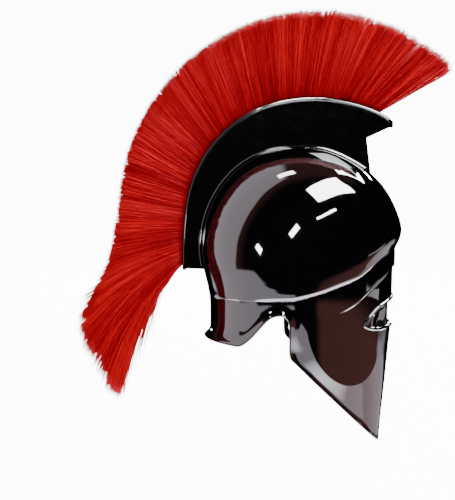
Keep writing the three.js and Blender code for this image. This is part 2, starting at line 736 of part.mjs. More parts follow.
// One flattened lock of hair that curves from its root to its tip
function lock(share, index) {
  const along = read(HAIR, 'root', share);
  const root = arcPoint(along, -BAR_DEPTH * 0.4);
  const uneven = 1 + UNEVEN_TIPS * Math.sin(index * 2.4);
  const length = HAIR_LENGTH * read(HAIR, 'hair', share) + TAIL_LENGTH * read(HAIR, 'tail', share);
  const reach = uneven * length;
  const bearing = THREE.MathUtils.degToRad(read(HAIR, 'bearing', share));
  const ray = new THREE.Vector2(Math.cos(bearing), Math.sin(bearing));
  const tip = root.clone().addScaledVector(ray, reach);
  const straightOut = arcPoint(along, reach * 0.5);
  const middle = root.clone().lerp(tip, 0.5).lerp(straightOut, read(HAIR, 'bend', share));
  const path = new THREE.QuadraticBezierCurve(root, middle, tip);
  const side = index % 2 === 0 ? 1 : -1;
  const rings = LOCK_ROWS.map((row) => {
    const place = path.getPoint(row.at);
    const ahead = path.getTangent(row.at);
    const half = LOCK_WIDTH * row.wide * 0.5;
    const corner = ([across, out]) => new THREE.Vector3(
      place.x - ahead.y * half * across,
      HAIR_SPREAD * (side * row.apart + row.thick * out),
      place.y + ahead.x * half * across,
    );
    return [[1, 0], [0.5, 1], [-0.5, 1], [-1, 0], [-0.5, -1], [0.5, -1]].map(corner);
  });
  return solid(loft(rings, [[0, 1, 2], [0, 2, 3], [0, 3, 4], [0, 4, 5]]));
}

// The walls of the crest box and its lip with their clearance, which no hair may enter
function hairKeepOut() {
  const cover = 2 * (2 * CLEARANCE + LIP_PROUD);
  const room = acrossY(boxChannel(CLEARANCE), BOX_WIDTH - 2 * (CREST_WALL + CLEARANCE));
  const walls = acrossY(boxOutline(LIP_PROUD / 2 + CLEARANCE), BOX_WIDTH + cover);
  return walls.add(acrossY(lipHeel(CLEARANCE), BOX_WIDTH + cover)).subtract(room);
}

// The bar of hair in the crest box with all its locks
function plume() {
  const barWidth = BOX_WIDTH - 2 * (CREST_WALL + CLEARANCE);
  let hair = acrossY(arcBand(BAR_SHARES.from, BAR_SHARES.to, -1, BAR_DEPTH, BAR_DEPTH), barWidth);
  for (let index = 0; index < LOCKS; index += 1) {
    hair = hair.add(lock(index / (LOCKS - 1), index));
  }
  return mesh('plume', hair.subtract(hairKeepOut()), new THREE.MeshStandardMaterial(RED_HAIR));
}

const group = new THREE.Group();
group.add(helmetShell(), noseGuard(), crestBox(), crestLip(), plume());
export default group;
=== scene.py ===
# %% [markdown]
# A corinthian helmet: a closed face helmet hammered from one sheet of steel, finished in glossy
# black, with a tall crest that carries red horsehair. The solids of the helmet come from the
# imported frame. This lesson dresses them: it makes the smooth sheet, the crest and some sixteen
# thousand hairs, and gives each its finish. All lengths are in metres. The helmet faces +X, the
# wearer's left is +Y, and the origin is where the top of the head meets the bowl.

# %% Load the frame
import math
from contextlib import contextmanager

import bpy
import numpy as np
from mathutils import Matrix, Vector


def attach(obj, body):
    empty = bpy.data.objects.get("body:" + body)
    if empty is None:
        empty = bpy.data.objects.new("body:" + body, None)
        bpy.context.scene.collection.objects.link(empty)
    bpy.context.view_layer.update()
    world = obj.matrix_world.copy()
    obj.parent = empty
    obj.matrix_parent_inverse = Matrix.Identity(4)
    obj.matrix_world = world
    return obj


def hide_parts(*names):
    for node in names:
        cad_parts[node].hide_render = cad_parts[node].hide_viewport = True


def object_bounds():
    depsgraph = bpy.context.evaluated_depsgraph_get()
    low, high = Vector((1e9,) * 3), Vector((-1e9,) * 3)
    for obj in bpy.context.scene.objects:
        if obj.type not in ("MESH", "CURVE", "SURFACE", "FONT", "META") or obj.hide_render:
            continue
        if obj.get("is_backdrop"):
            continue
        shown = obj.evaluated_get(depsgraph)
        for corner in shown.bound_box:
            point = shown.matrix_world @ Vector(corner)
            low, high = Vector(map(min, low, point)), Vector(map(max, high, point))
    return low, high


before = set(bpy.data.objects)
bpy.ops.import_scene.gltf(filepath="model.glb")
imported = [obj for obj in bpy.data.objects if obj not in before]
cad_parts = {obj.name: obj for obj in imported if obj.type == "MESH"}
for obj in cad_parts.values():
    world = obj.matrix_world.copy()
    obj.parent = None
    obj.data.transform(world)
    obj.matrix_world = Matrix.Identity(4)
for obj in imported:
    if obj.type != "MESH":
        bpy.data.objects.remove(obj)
cad_low, cad_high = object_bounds()
print("frame box", [round(v, 3) for v in cad_low], [round(v, 3) for v in cad_high])

# %% [markdown]
# The camera stands level with the brow, 1.6 m from the middle of the helmet, and looks down by
# 7.5 degrees at the wearer's right side. A long lens keeps the sides of the crest parallel.

# %% Camera
ELEVATION = math.radians(7.5)
DISTANCE = 1.6
AIM = Vector((-0.087, 0, -0.1234))

camera_data = bpy.data.cameras.new("camera")
camera_data.sensor_fit = "VERTICAL"
camera_data.sensor_height = camera_data.sensor_width = 36
camera_data.lens = 95.98


def new_object(name, data):
    made = bpy.data.objects.new(name, data)
    bpy.context.collection.objects.link(made)
    return made


camera = new_object("camera", camera_data)
sight = Vector((0, math.cos(ELEVATION), -math.sin(ELEVATION)))
camera.location = AIM - DISTANCE * sight
camera.rotation_euler = (math.pi / 2 - ELEVATION, 0, 0)
bpy.context.scene.camera = camera
print("camera at", [round(v, 3) for v in camera.location])

# %% [markdown]
# The measures of the helmet. The forms are kept as tables of shares: each row says how much of
# the full reach the sheet has at one height, and a smooth curve runs through the rows.

# %% Measures of the sheet
WALL = 0.0016
CREST_WALL = 0.0014
CLEARANCE = 0.0003
CROWN = WALL
BOWL_FRONT, BOWL_BACK, BOWL_HALF_WIDTH, BOWL_CENTRE = 0.122, 0.120, 0.093, 0.012
RIDGE_DROP_FRONT, RIDGE_DROP_SIDE, RIDGE_DROP_BACK = 0.1245, 0.1735, 0.1775
FACE_FRONT, FACE_HALF_WIDTH, FACE_FULLNESS = 0.113, 0.085, 1.85
NECK_BACK, NECK_FLARE, NECK_FLARE_HEIGHT = 0.109, 0.004, 0.016
RIDGE_LIP, BROW_PROUD = 0.0004, 0.0026
EYEBROW_DROP_FRONT, EYEBROW_DROP_SIDE, EYEBROW_LEDGE = 0.1425, 0.198, 0.003
NAPE_DROP, ARCH_DROP, CHEEK_CORNER_DROP, CHEEK_DROP = 0.2275, 0.190, 0.246, 0.3575
CHEEK_TIP_AHEAD, CHEEK_REAR_AHEAD, ARCH_WIDTH = 0.098, -0.015, 0.042
EYE_TOP_DROP, EYE_HEIGHT, EYE_CORNER = 0.179, 0.035, 0.054
SLIT_HALF_TOP, SLIT_HALF_BOTTOM = 0.011, 0.009

# Share of the drop to the ridge, then shares of the reach in front, at the sides, behind the
# ears and at the back, and of the shift of the widest place
BOWL = np.array([
    (0, 0, 0, 0, 0, 0),
    (0.02, 0.19, 0.27, 0.27, 0.27, 0.05),
    (0.06, 0.33, 0.44, 0.44, 0.45, 0.15),
    (0.12, 0.46, 0.6, 0.6, 0.6, 0.3),
    (0.2, 0.6, 0.735, 0.735, 0.728, 0.5),
    (0.3, 0.73, 0.845, 0.845, 0.838, 0.7),
    (0.42, 0.835, 0.93, 0.93, 0.925, 0.87),
    (0.55, 0.912, 0.98, 0.978, 0.978, 0.96),
    (0.67, 0.964, 1, 0.99, 1, 1),
    (0.78, 0.998, 1.002, 0.985, 0.984, 1),
    (0.86, 0.99, 0.998, 0.967, 0.955, 1),
    (0.93, 0.955, 0.991, 0.943, 0.929, 1),
    (0.965, 0.937, 0.983, 0.93, 0.918, 1),
    (0.985, 0.931, 0.967, 0.922, 0.913, 1),
    (1, 0.926, 0.93, 0.914, 0.908, 1),
])
# Bearing from the front in degrees, drop of the ridge, strength of the brow panel
RIDGE = np.array([
    (0, 0, 1), (20, 0, 1), (30, 0.06, 1), (37, 0.16, 1), (45, 0.35, 0.85),
    (52, 0.51, 0.5), (65, 0.69, 0), (78, 0.87, 0), (90, 1, 0),
])
# Bearing, drop of the eyebrow
EYEBROW = np.array([
    (0, 0), (16, 0), (28, 0.15), (37, 0.29), (45, 0.48), (53, 0.68), (65, 0.85), (90, 1),
])
# Share of the drop to the cheek tips, then shares of the reach in front, beside and behind
FACE = np.array([
    (0.34, 0.988, 1, 1.003), (0.4, 0.985, 1, 1.003), (0.48, 0.982, 0.995, 1.001),
    (0.53, 0.98, 0.97, 0.991), (0.6, 0.98, 0.92, 0.989), (0.7, 0.955, 0.85, 0.992),
    (0.83, 0.927, 0.755, 0.992), (1, 0.886, 0.67, 0.992),
])
# Bearing, depth of the sheet before its edge is cut
SKIRT = np.array([
    (0, 1.03), (30, 1.01), (45, 0.95), (60, 0.88), (75, 0.81), (90, 0.74), (105, 0.67), (180, 0.66),
])


def read(table, column, at):
    """Values of a column of a table along a smooth curve through its rows."""
    steps, values = table[:, 0], table[:, column]
    ends = np.arange(len(steps))
    low, high = np.maximum(ends - 1, 0), np.minimum(ends + 1, len(steps) - 1)
    slopes = (values[high] - values[low]) / (steps[high] - steps[low])
    at = np.clip(np.asarray(at, dtype=float), steps[0], steps[-1])
    row = np.clip(np.searchsorted(steps, at, side="right") - 1, 0, len(steps) - 2)
    span = steps[row + 1] - steps[row]
    part = (at - steps[row]) / span
    rise = values[row + 1] - values[row]
    start, end = slopes[row] * span, slopes[row + 1] * span
    bend, twist = 3 * rise - 2 * start - end, start + end - 2 * rise
    return values[row] + part * (start + part * (bend + part * twist))


def ease(value, low, high):
    """Rises smoothly from 0 to 1 between two values."""
    part = np.clip((value - low) / (high - low), 0, 1)
    return part * part * (3 - 2 * part)


print("ridge at the temple", round(float(read(RIDGE, 1, 60)), 3))

# %% [markdown]
# Each level section of the sheet is an egg: one half ellipse in front of the widest place and
# another behind it. The bowl is read by its share of the drop to the ridge, because the ridge
# dips from the brow to the ears, and the face by its height.

# %% Points of the sheet
def fold(bearing):
    """Bearing from the front, 0 to 180, whichever side it lies on."""
    turned = np.mod(bearing, 360)
    return np.where(turned > 180, 360 - turned, turned)


def ridge_drop(bearing):
    turned = fold(bearing)
    behind = np.maximum(turned - 90, 0) / 90
    side = RIDGE_DROP_SIDE + (RIDGE_DROP_BACK - RIDGE_DROP_SIDE) * behind
    return RIDGE_DROP_FRONT + (side - RIDGE_DROP_FRONT) * read(RIDGE, 1, turned)


def eyebrow_drop(bearing):
    down = read(EYEBROW, 1, fold(bearing))
    return EYEBROW_DROP_FRONT + (EYEBROW_DROP_SIDE - EYEBROW_DROP_FRONT) * down


def egg(bearing, centre, front, back, half_width, fullness, z):
    turned = np.radians(bearing)
    cos, sin = np.cos(turned), np.sin(turned)
    along = np.abs(cos) ** (2 / fullness)
    across = np.sign(sin) * np.abs(sin) ** (2 / fullness) * half_width
    ahead = centre + (front - centre) * along
    behind = centre - (centre + back) * along
    return np.stack([np.where(cos > 0, ahead, behind), across, z + 0 * cos], axis=-1)


def bowl_point(bearing, share):
    """Point of the bowl at a share of the drop from the crown to the ridge."""
    behind_ear = ease(fold(bearing), 88, 122)
    side, flank = read(BOWL, 2, share), read(BOWL, 3, share)
    return egg(
        bearing, -BOWL_CENTRE * read(BOWL, 5, share), BOWL_FRONT * read(BOWL, 1, share),
        BOWL_BACK * read(BOWL, 4, share), BOWL_HALF_WIDTH * (side + (flank - side) * behind_ear),
        2, CROWN - share * ridge_drop(bearing),
    )


def face_point(bearing, z):
    """Point of the face, a cheek or the neck at a height."""
    share, turned = (CROWN - z) / CHEEK_DROP, fold(bearing)
    under_brow = ease(CROWN - z, eyebrow_drop(bearing), eyebrow_drop(bearing) + EYEBROW_LEDGE)
    proud = BROW_PROUD * read(RIDGE, 2, turned) * (1 - under_brow)
    above_nape = (z - (CROWN - NAPE_DROP)) / NECK_FLARE_HEIGHT
    flare = NECK_FLARE * np.maximum(1 - np.maximum(above_nape, 0), 0) ** 2 * ease(turned, 100, 135)
    fullness = 2 + (FACE_FULLNESS - 2) * (1 - ease(turned, 60, 90))
    return egg(
        bearing, -BOWL_CENTRE, FACE_FRONT * read(FACE, 1, share) + proud,
        NECK_BACK * read(FACE, 3, share) + flare,
        FACE_HALF_WIDTH * read(FACE, 2, share) + proud + flare, fullness, z,
    )


print("brow", np.round(bowl_point(0, 0.78), 4), "cheek tip", np.round(face_point(5, -0.35), 4))

# %% [markdown]
# The lower edge is drawn in side view: the nape, the arch over the shoulder, the rear edge of
# the cheek guard and the long diagonal to its tip. The eyes and the slit are drawn in front view.

# %% Edge lines
def bezier(*corners, steps=14):
    """Points along a curve with two or three steering corners, without its first point."""
    level = np.linspace(0, 1, steps + 1)[1:, None]
    run = [np.array(corner, dtype=float) + 0 * level for corner in corners]
    while len(run) > 1:
        run = [a + (b - a) * level for a, b in zip(run, run[1:])]
    return [tuple(point) for point in run[0]]


def lower_edge():
    nape, arch, corner = CROWN - NAPE_DROP, CROWN - ARCH_DROP, CROWN - CHEEK_CORNER_DROP
    rear, back, rise = CHEEK_REAR_AHEAD, CHEEK_REAR_AHEAD - ARCH_WIDTH, NAPE_DROP - ARCH_DROP
    wide = ARCH_WIDTH
    line = [(-NECK_BACK - NECK_FLARE, nape)]
    line += bezier(line[-1], (back - wide * 0.5, nape - rise * 0.05))
    line += bezier(line[-1], (back - wide * 0.2, nape - rise * 0.1), (back, nape + rise * 0.3),
                   (back + wide * 0.3, nape + rise * 0.72))
    line += bezier(line[-1], (back + wide * 0.5, arch), (back + wide * 0.72, arch))
    line += bezier(line[-1], (rear, arch), (rear, arch - rise * 0.45))
    line += bezier(line[-1], (rear, corner + rise * 0.35))
    line += bezier(line[-1], (rear, corner + rise * 0.1), (rear + rise * 0.12, corner))
    line += bezier(line[-1], (CHEEK_TIP_AHEAD, CROWN - CHEEK_DROP), steps=40)
    return np.array(line)


def eye_edge():
    top = CROWN - EYE_TOP_DROP

    def at(across, down):
        return (EYE_CORNER * across, top - EYE_HEIGHT * down)

    line = [(0, top)]
    line += bezier(line[-1], at(0.3, 0.02), at(0.55, 0.1), at(0.76, 0.22))
    line += bezier(line[-1], at(0.92, 0.4), at(1.02, 0.68), at(1, 0.82))
    line += bezier(line[-1], at(0.9, 1), at(0.62, 1))
    line += bezier(line[-1], (SLIT_HALF_TOP, top - EYE_HEIGHT * 0.97))
    return np.array(line)


LOWER_EDGE = lower_edge()
EYE_EDGE = eye_edge()
print(len(LOWER_EDGE), "points of the lower edge,", len(EYE_EDGE), "round an eye")

# %% [markdown]
# Small helpers for work in edit mode. An operator acts on all that is selected, so everything is
# deselected before each new primitive.

# %% Helpers
def deselect():
    if bpy.context.object and bpy.context.object.mode != "OBJECT":
        bpy.ops.object.mode_set(mode="OBJECT")
    bpy.ops.object.select_all(action="DESELECT")


def activate(piece):
    deselect()
    piece.select_set(True)
    bpy.context.view_layer.objects.active = piece


@contextmanager
def edit_mode(piece, select=None):
    """Edit mode on one piece, with all of it selected or deselected, or left as it was."""
    activate(piece)
    bpy.ops.object.mode_set(mode="EDIT")
    if select:
        bpy.ops.mesh.select_all(action=select)
    yield
    bpy.ops.object.mode_set(mode="OBJECT")


def newest(name):
    """Names the primitive that was just added."""
    piece = bpy.context.object
    piece.name = name
    piece.data.name = name
    return piece


def new_grid(name, across, down):
    deselect()
    bpy.ops.mesh.primitive_grid_add(x_subdivisions=across, y_subdivisions=down, size=1)
    return newest(name)


def copy_of(piece):
    twin = piece.copy()
    twin.data = piece.data.copy()
    bpy.context.collection.objects.link(twin)
    return twin


def points_of(piece):
    flat = np.empty(len(piece.data.vertices) * 3)
    piece.data.vertices.foreach_get("co", flat)
    return flat.reshape(-1, 3)


def place_points(piece, points):
    piece.data.vertices.foreach_set("co", np.asarray(points, dtype=float).ravel())
    piece.data.update()


def normals_of(piece):
    flat = np.empty(len(piece.data.vertices) * 3)
    piece.data.vertex_normals.foreach_get("vector", flat)
    return flat.reshape(-1, 3)


def apply_modifier(piece, kind, **settings):
    activate(piece)
    modifier = piece.modifiers.new(kind.lower(), kind)
    for key, value in settings.items():
        setattr(modifier, key, value)
    bpy.ops.object.modifier_apply(modifier=modifier.name)


def cut(piece, tool, operation="DIFFERENCE"):
    """Cuts a piece with another, or joins them, and removes the tool."""
    apply_modifier(piece, "BOOLEAN", operation=operation, object=tool, solver="MANIFOLD")
    bpy.data.objects.remove(tool)


def bevel(piece, width, segments, angle):
    limit = math.radians(angle)
    apply_modifier(piece, "BEVEL", width=width, segments=segments, limit_method="ANGLE", angle_limit=limit)


def face_outwards(piece, doubles=1e-6):
    with edit_mode(piece, "SELECT"):
        bpy.ops.mesh.remove_doubles(threshold=doubles)
        bpy.ops.mesh.normals_make_consistent(inside=False)


def close_borders():
    """Fills the open borders of the piece that is in edit mode."""
    bpy.ops.mesh.select_all(action="DESELECT")
    bpy.ops.mesh.select_non_manifold()
    bpy.ops.mesh.edge_face_add()


def plate(name, outline, width, ahead=None):
    """A flat outline pushed out to a solid: across the helmet, or forwards from its middle."""
    deselect()
    bpy.ops.mesh.primitive_circle_add(vertices=len(outline), fill_type="NGON")
    piece = newest(name)
    outline = np.array(outline)
    level = np.full(len(outline), -width / 2 if ahead is None else 0.0)
    if ahead is None:
        points, push = np.stack([outline[:, 0], level, outline[:, 1]], axis=1), (0, width, 0)
    else:
        points, push = np.stack([level, outline[:, 0], outline[:, 1]], axis=1), (ahead, 0, 0)
    place_points(piece, points)
    with edit_mode(piece, "SELECT"):
        bpy.ops.mesh.extrude_region_move(TRANSFORM_OT_translate={"value": push})
    face_outwards(piece)
    return piece


def bead(name, points, radius, sides=3):
    """A round bead along points, with closed ends."""
    deselect()
    line = bpy.data.curves.new(name, "CURVE")
    line.dimensions = "3D"
    line.bevel_depth = radius
    line.bevel_resolution = sides
    line.use_fill_caps = True
    spline = line.splines.new("POLY")
    spline.points.add(len(points) - 1)
    flat = np.concatenate([np.asarray(points), np.ones((len(points), 1))], axis=1)
    spline.points.foreach_set("co", flat.ravel())
    activate(new_object(name, line))
    bpy.ops.object.convert(target="MESH")
    piece = newest(name)
    face_outwards(piece)
    return piece


def smooth(piece, angle=35):
    activate(piece)
    bpy.ops.object.shade_smooth_by_angle(angle=math.radians(angle))


def triangles(piece):
    piece.data.calc_loop_triangles()
    return len(piece.data.loop_triangles)


def both_sides(points):
    """Follows a line on the wearer's left and comes back along its mirror image."""
    points = np.asarray(points)
    mirrored = points[::-1] * (1, -1, 1)
    return np.concatenate([mirrored, points[points[:, 1] > 1e-5]])


# %% [markdown]
# The sheet is one raised piece of steel. A plane grid is rolled round the crown: its columns
# become bearings and its rows become levels, so the polygons run with the ridge and the brow and
# a mirror finish shows no facets. The lower edge is turned outwards in a narrow flare that gets
# wider at the neck, which catches the light. The cheek falls back a little round an oval.

# %% The sheet
COLUMNS = 240
BOWL_SHARES = np.concatenate([
    1 - np.cos(np.linspace(0, math.acos(0.1), 62)), np.linspace(0.905, 1, 15),
])
FACE_LEVELS = np.linspace(0, 1, 72)
TURN_OUT_NECK, TURN_OUT_CHEEK = 0.0034, 0.0016
TURN_WIDTH_NECK, TURN_WIDTH_CHEEK = 0.0105, 0.0050
# The fuller oval of the cheek: its top, place ahead, lean, half width and depth
OVAL_TOP, OVAL_AHEAD, OVAL_LEAN, OVAL_HALF_WIDTH, OVAL_DEPTH = -0.215, 0.048, 0.2, 0.042, 0.063
# Where the cheek's fall starts, where it is whole, and the place behind which there is none
FALL_STARTS, FALL_WHOLE, FALL_BACK = -0.188, -0.238, -0.022
# The fall of the sheet for each oval outwards, the most ovals, and the bump's own fall
CHEEK_FALL, CHEEK_FALL_MOST, CHEEK_TURN = 0.0025, 0.8, 0.0060


def sheet_rows():
    """Outer surface row by row, each as a function of the bearings."""
    rows = [lambda b, s=share: bowl_point(b, s) for share in BOWL_SHARES]
    for part in np.linspace(0, 1, 10):
        rows.append(lambda b, p=part: face_point(
            b, CROWN - (ridge_drop(b) + RIDGE_LIP) * (1 - p) - eyebrow_drop(b) * p))
    for part in (0.2, 0.4, 0.6, 0.8):
        rows.append(lambda b, p=part: face_point(b, CROWN - eyebrow_drop(b) - EYEBROW_LEDGE * p))
    for part in FACE_LEVELS:
        def row(b, p=part):
            top = eyebrow_drop(b) + EYEBROW_LEDGE
            bottom = CHEEK_DROP * read(SKIRT, 1, fold(b))
            return face_point(b, CROWN - top - (bottom - top) * p)
        rows.append(row)
    return rows


def distance_to(line, points):
    """Distance of points of the side view from a line, and how far ahead its nearest point is."""
    best, ahead = np.full(len(points), 1e9), np.zeros(len(points))
    for start, end in zip(line, line[1:]):
        along = end - start
        part = np.clip((points - start) @ along / max(along @ along, 1e-12), 0, 1)
        near = start + part[:, None] * along
        gap = np.linalg.norm(points - near, axis=1)
        closer = gap < best
        best = np.where(closer, gap, best)
        ahead = np.where(closer, near[:, 0], ahead)
    return best, ahead


def flare_at(ahead):
    """How far the lower edge is turned out and how wide the turn is."""
    cheek = ease(ahead, CHEEK_REAR_AHEAD - 0.001, CHEEK_REAR_AHEAD + 0.012)
    turn_out = TURN_OUT_NECK + (TURN_OUT_CHEEK - TURN_OUT_NECK) * cheek
    return turn_out, TURN_WIDTH_NECK + (TURN_WIDTH_CHEEK - TURN_WIDTH_NECK) * cheek


def cheek_fall(x, z):
    """How far the cheek falls back round its fuller middle oval."""
    below = z - OVAL_TOP
    wide = (x - OVAL_AHEAD + OVAL_LEAN * below) / OVAL_HALF_WIDTH
    deep = np.minimum(below, 0) / OVAL_DEPTH
    outside = np.clip(np.hypot(wide, deep) - 1, 0, CHEEK_FALL_MOST)
    return CHEEK_FALL * outside * ease(-z, -FALL_STARTS, -FALL_WHOLE) * (x > FALL_BACK)


def above_ridge(piece, share):
    """Which points lie higher than a share of the drop to the ridge."""
    points = points_of(piece)
    bearings = np.degrees(np.arctan2(points[:, 1], points[:, 0] + BOWL_CENTRE))
    return CROWN - points[:, 2] < share * ridge_drop(bearings)


def raise_sheet(name, rows):
    piece = new_grid(name, COLUMNS, len(rows) - 1)
    flat = points_of(piece)
    bearings = (flat[:, 0] + 0.5) * 360
    levels = np.rint((flat[:, 1] + 0.5) * (len(rows) - 1)).astype(int)
    points = np.empty_like(flat)
    for level, row in enumerate(rows):
        chosen = levels == level
        points[chosen] = row(bearings[chosen])
    place_points(piece, points)
    face_outwards(piece, doubles=2e-6)
    middle = np.array([-BOWL_CENTRE, 0, -0.1])
    if np.einsum("ij,ij->i", normals_of(piece), points_of(piece) - middle).mean() < 0:
        piece.data.flip_normals()
    return piece


sheet = raise_sheet("helmet_sheet", sheet_rows())
print("sheet", triangles(sheet), "triangles", np.round(points_of(sheet).min(0), 4))

# %% Smooth the bowl and turn out the lower edge
SMOOTHED_SHARE, CUTTER_SHARE = 0.9, 0.97
FLARE_DROP = 0.178

with edit_mode(sheet, "DESELECT"):
    pass
sheet.data.vertices.foreach_set("select", above_ridge(sheet, SMOOTHED_SHARE))
with edit_mode(sheet):
    bpy.ops.mesh.select_mode(type="VERT")
    bpy.ops.mesh.vertices_smooth(factor=0.5, repeat=16)

points, normals = points_of(sheet), normals_of(sheet)
gap, ahead = distance_to(LOWER_EDGE, points[:, [0, 2]])
turn_out, turn_width = flare_at(ahead)
below_ridge = CROWN - points[:, 2] > FLARE_DROP
lift = turn_out * np.clip(1 - gap / turn_width, 0, 1) ** 2 * below_ridge
lift -= cheek_fall(points[:, 0], points[:, 2])
place_points(sheet, points + normals * lift[:, None])
bowl_form = copy_of(sheet)
apply_modifier(sheet, "SOLIDIFY", thickness=WALL, offset=-1, use_even_offset=True)
print("sheet with its wall", triangles(sheet), "triangles, turned out by", round(float(lift.max()), 4))

# %% Cut the lower edge and the face opening
REACH = 0.25
SLIT_FOOT = CROWN - CHEEK_DROP * 1.1
below = [
    (-REACH, LOWER_EDGE[0][1]), *LOWER_EDGE,
    (REACH, CROWN - CHEEK_DROP), (REACH, -2 * CHEEK_DROP), (-REACH, -2 * CHEEK_DROP),
]
cut(sheet, plate("below", below, 2 * REACH))
left_eye = [*EYE_EDGE, (SLIT_HALF_BOTTOM, SLIT_FOOT)]
right_eye = [(-y, z) for y, z in left_eye[:0:-1]]
cut(sheet, plate("opening", left_eye + right_eye, 0, ahead=REACH))
smooth(sheet)
print("cut sheet", triangles(sheet), "triangles")

# %% [markdown]
# The raised rim round the eyes, the rolled lower edge and the rounded edges of the slit are
# beads that follow the surface. On the real helmet they are the sheet's own edge, folded back
# and polished, and each draws one bright line.

# %% Rims
def halve(holds, count, highest):
    """Bearings up to which a test holds, found by halving."""
    low, high = np.zeros(count), np.full(count, highest)
    for _ in range(40):
        middle = (low + high) / 2
        further = holds(middle)
        low, high = np.where(further, middle, low), np.where(further, high, middle)
    return (low + high) / 2


def beside(x, z):
    """Bearings on the wearer's left of the points straight beside places of the side view."""
    return halve(lambda bearing: face_point(bearing, z)[:, 0] > x, len(x), 180.0)


def ahead_of(y, z):
    """Bearings of the points straight ahead of places of the front view."""
    return halve(lambda bearing: face_point(bearing, z)[:, 1] < y, len(y), 89.0)


def face_normal(bearing, z):
    round_it = face_point(bearing + 0.2, z) - face_point(bearing - 0.2, z)
    upwards = face_point(bearing, z + 0.0002) - face_point(bearing, z - 0.0002)
    normal = np.cross(round_it, upwards)
    return normal / np.linalg.norm(normal, axis=1)[:, None]


ROLL_RADIUS, EYE_RIM_RADIUS, SLIT_RADIUS = 0.0011, 0.0022, 0.0009
ROLL_LIFT = 0.0002

edge = LOWER_EDGE[1:-1]
bearings = beside(edge[:, 0], edge[:, 1])
turn_out, _ = flare_at(edge[:, 0])
out = face_normal(bearings, edge[:, 1])
lift = turn_out - WALL / 2 - cheek_fall(edge[:, 0], edge[:, 1])
run = face_point(bearings, edge[:, 1]) + out * lift[:, None]
run[:, 2] += ROLL_LIFT
middle = face_point(np.array([180.0]), np.array([LOWER_EDGE[0][1]]))
middle += [[-TURN_OUT_NECK + WALL / 2, 0, ROLL_LIFT]]
edge_roll = bead("edge_roll", both_sides(np.concatenate([middle, run])), ROLL_RADIUS)
smooth(edge_roll, 60)

bearings = ahead_of(EYE_EDGE[:, 0], EYE_EDGE[:, 1])
eye_line = face_point(bearings, EYE_EDGE[:, 1])
fall = cheek_fall(eye_line[:, 0], eye_line[:, 2])
eye_line -= face_normal(bearings, EYE_EDGE[:, 1]) * fall[:, None]
eye_line[0, 1] = 0
eye_rim = bead("eye_rim", both_sides(eye_line), EYE_RIM_RADIUS)
smooth(eye_rim, 60)

slit_top = EYE_EDGE[-1][1]
heights = np.linspace(slit_top, CROWN - CHEEK_DROP + 0.004, 40)
slit_half = np.interp(heights, [SLIT_FOOT, slit_top], [SLIT_HALF_BOTTOM, SLIT_HALF_TOP])
bearings = ahead_of(slit_half, heights)
slit_line = face_point(bearings, heights)
depth = WALL / 2 + cheek_fall(slit_line[:, 0], slit_line[:, 2])
slit_line -= face_normal(bearings, heights) * depth[:, None]
slit_edges = [
    bead("slit_edge_left", slit_line, SLIT_RADIUS),
    bead("slit_edge_right", slit_line * (1, -1, 1), SLIT_RADIUS),
]
for piece in slit_edges:
    smooth(piece, 60)
print("rims", [triangles(piece) for piece in (edge_roll, eye_rim, *slit_edges)])

# %% [markdown]
# The nose guard is a keeled leaf of the same sheet. A plane grid is folded along its middle by
# a table of widths and depths, and gets its thickness from a modifier.

# %% Nose guard
NOSE_TOP_DROP, NOSE_LENGTH, NOSE_HALF_WIDTH = 0.166, 0.076, 0.015
NOSE_DEPTH, NOSE_SETBACK, KEEL_ROUND = 0.017, 0.0006, 0.06
# Share of the length, then shares of the half width and depth, and the keel's set back
NOSE = np.array([
    (0, 0.62, 0.1, 0), (0.16, 0.55, 0.2, 0.02), (0.32, 0.62, 0.52, 0.07), (0.6, 0.93, 0.95, 0.1),
    (0.8, 1, 1, 0.12), (0.93, 0.75, 0.78, 0.2), (1, 0.3, 0.35, 0.3),
])

nose = new_grid("nose_plate", 24, 60)
flat = points_of(nose)
across, down = flat[:, 0] * 2, flat[:, 1] + 0.5
z = CROWN - NOSE_TOP_DROP - down * NOSE_LENGTH
face = FACE_FRONT * read(FACE, 1, (CROWN - z) / CHEEK_DROP)
keel = face - WALL - NOSE_SETBACK - read(NOSE, 3, down) * NOSE_DEPTH
side = np.abs(across)
back = np.where(side < 0.5, side * 0.7, 0.35 + (side - 0.5) * 1.3)
back = back + KEEL_ROUND * (1 - np.minimum(side * 4, 1)) ** 2
x = keel - KEEL_ROUND * NOSE_DEPTH - NOSE_DEPTH * read(NOSE, 2, down) * (back - KEEL_ROUND)
y = across * NOSE_HALF_WIDTH * read(NOSE, 1, down)
place_points(nose, np.stack([x, y, z], axis=1))
with edit_mode(nose, "SELECT"):
    bpy.ops.mesh.normals_make_consistent(inside=False)
if normals_of(nose)[:, 0].mean() < 0:
    nose.data.flip_normals()
apply_modifier(nose, "SOLIDIFY", thickness=WALL, offset=-1)
bevel(nose, 0.0005, 2, 60)
smooth(nose, 50)
print("nose guard", triangles(nose), "triangles")

# %% [markdown]
# The crest box is a deep trough of flat sheet that stands on the bowl and holds the hair. Its
# side is one outline in side view, made into a plate and hollowed from above. A rounded foot
# bead covers its joint with the bowl. Known fault: the form that should cut the box's foot has
# no dome, so the two side walls of the box go on down inside the bowl.

# %% Crest measures
BOX_BACK, BOX_FRONT, BOX_RISE, BOX_TAIL_DROP, BOX_WIDTH = 0.140, 0.106, 0.061, 0.144, 0.024
BEAK_DEPTH, BEAK_SLOPE, WEB_TOP_AHEAD, WEB_FOOT_AHEAD = 0.007, 0.42, 0.077, 0.082
FOOT_RADIUS, LIP_HEIGHT, LIP_PROUD = 0.0028, 0.0075, 0.0014
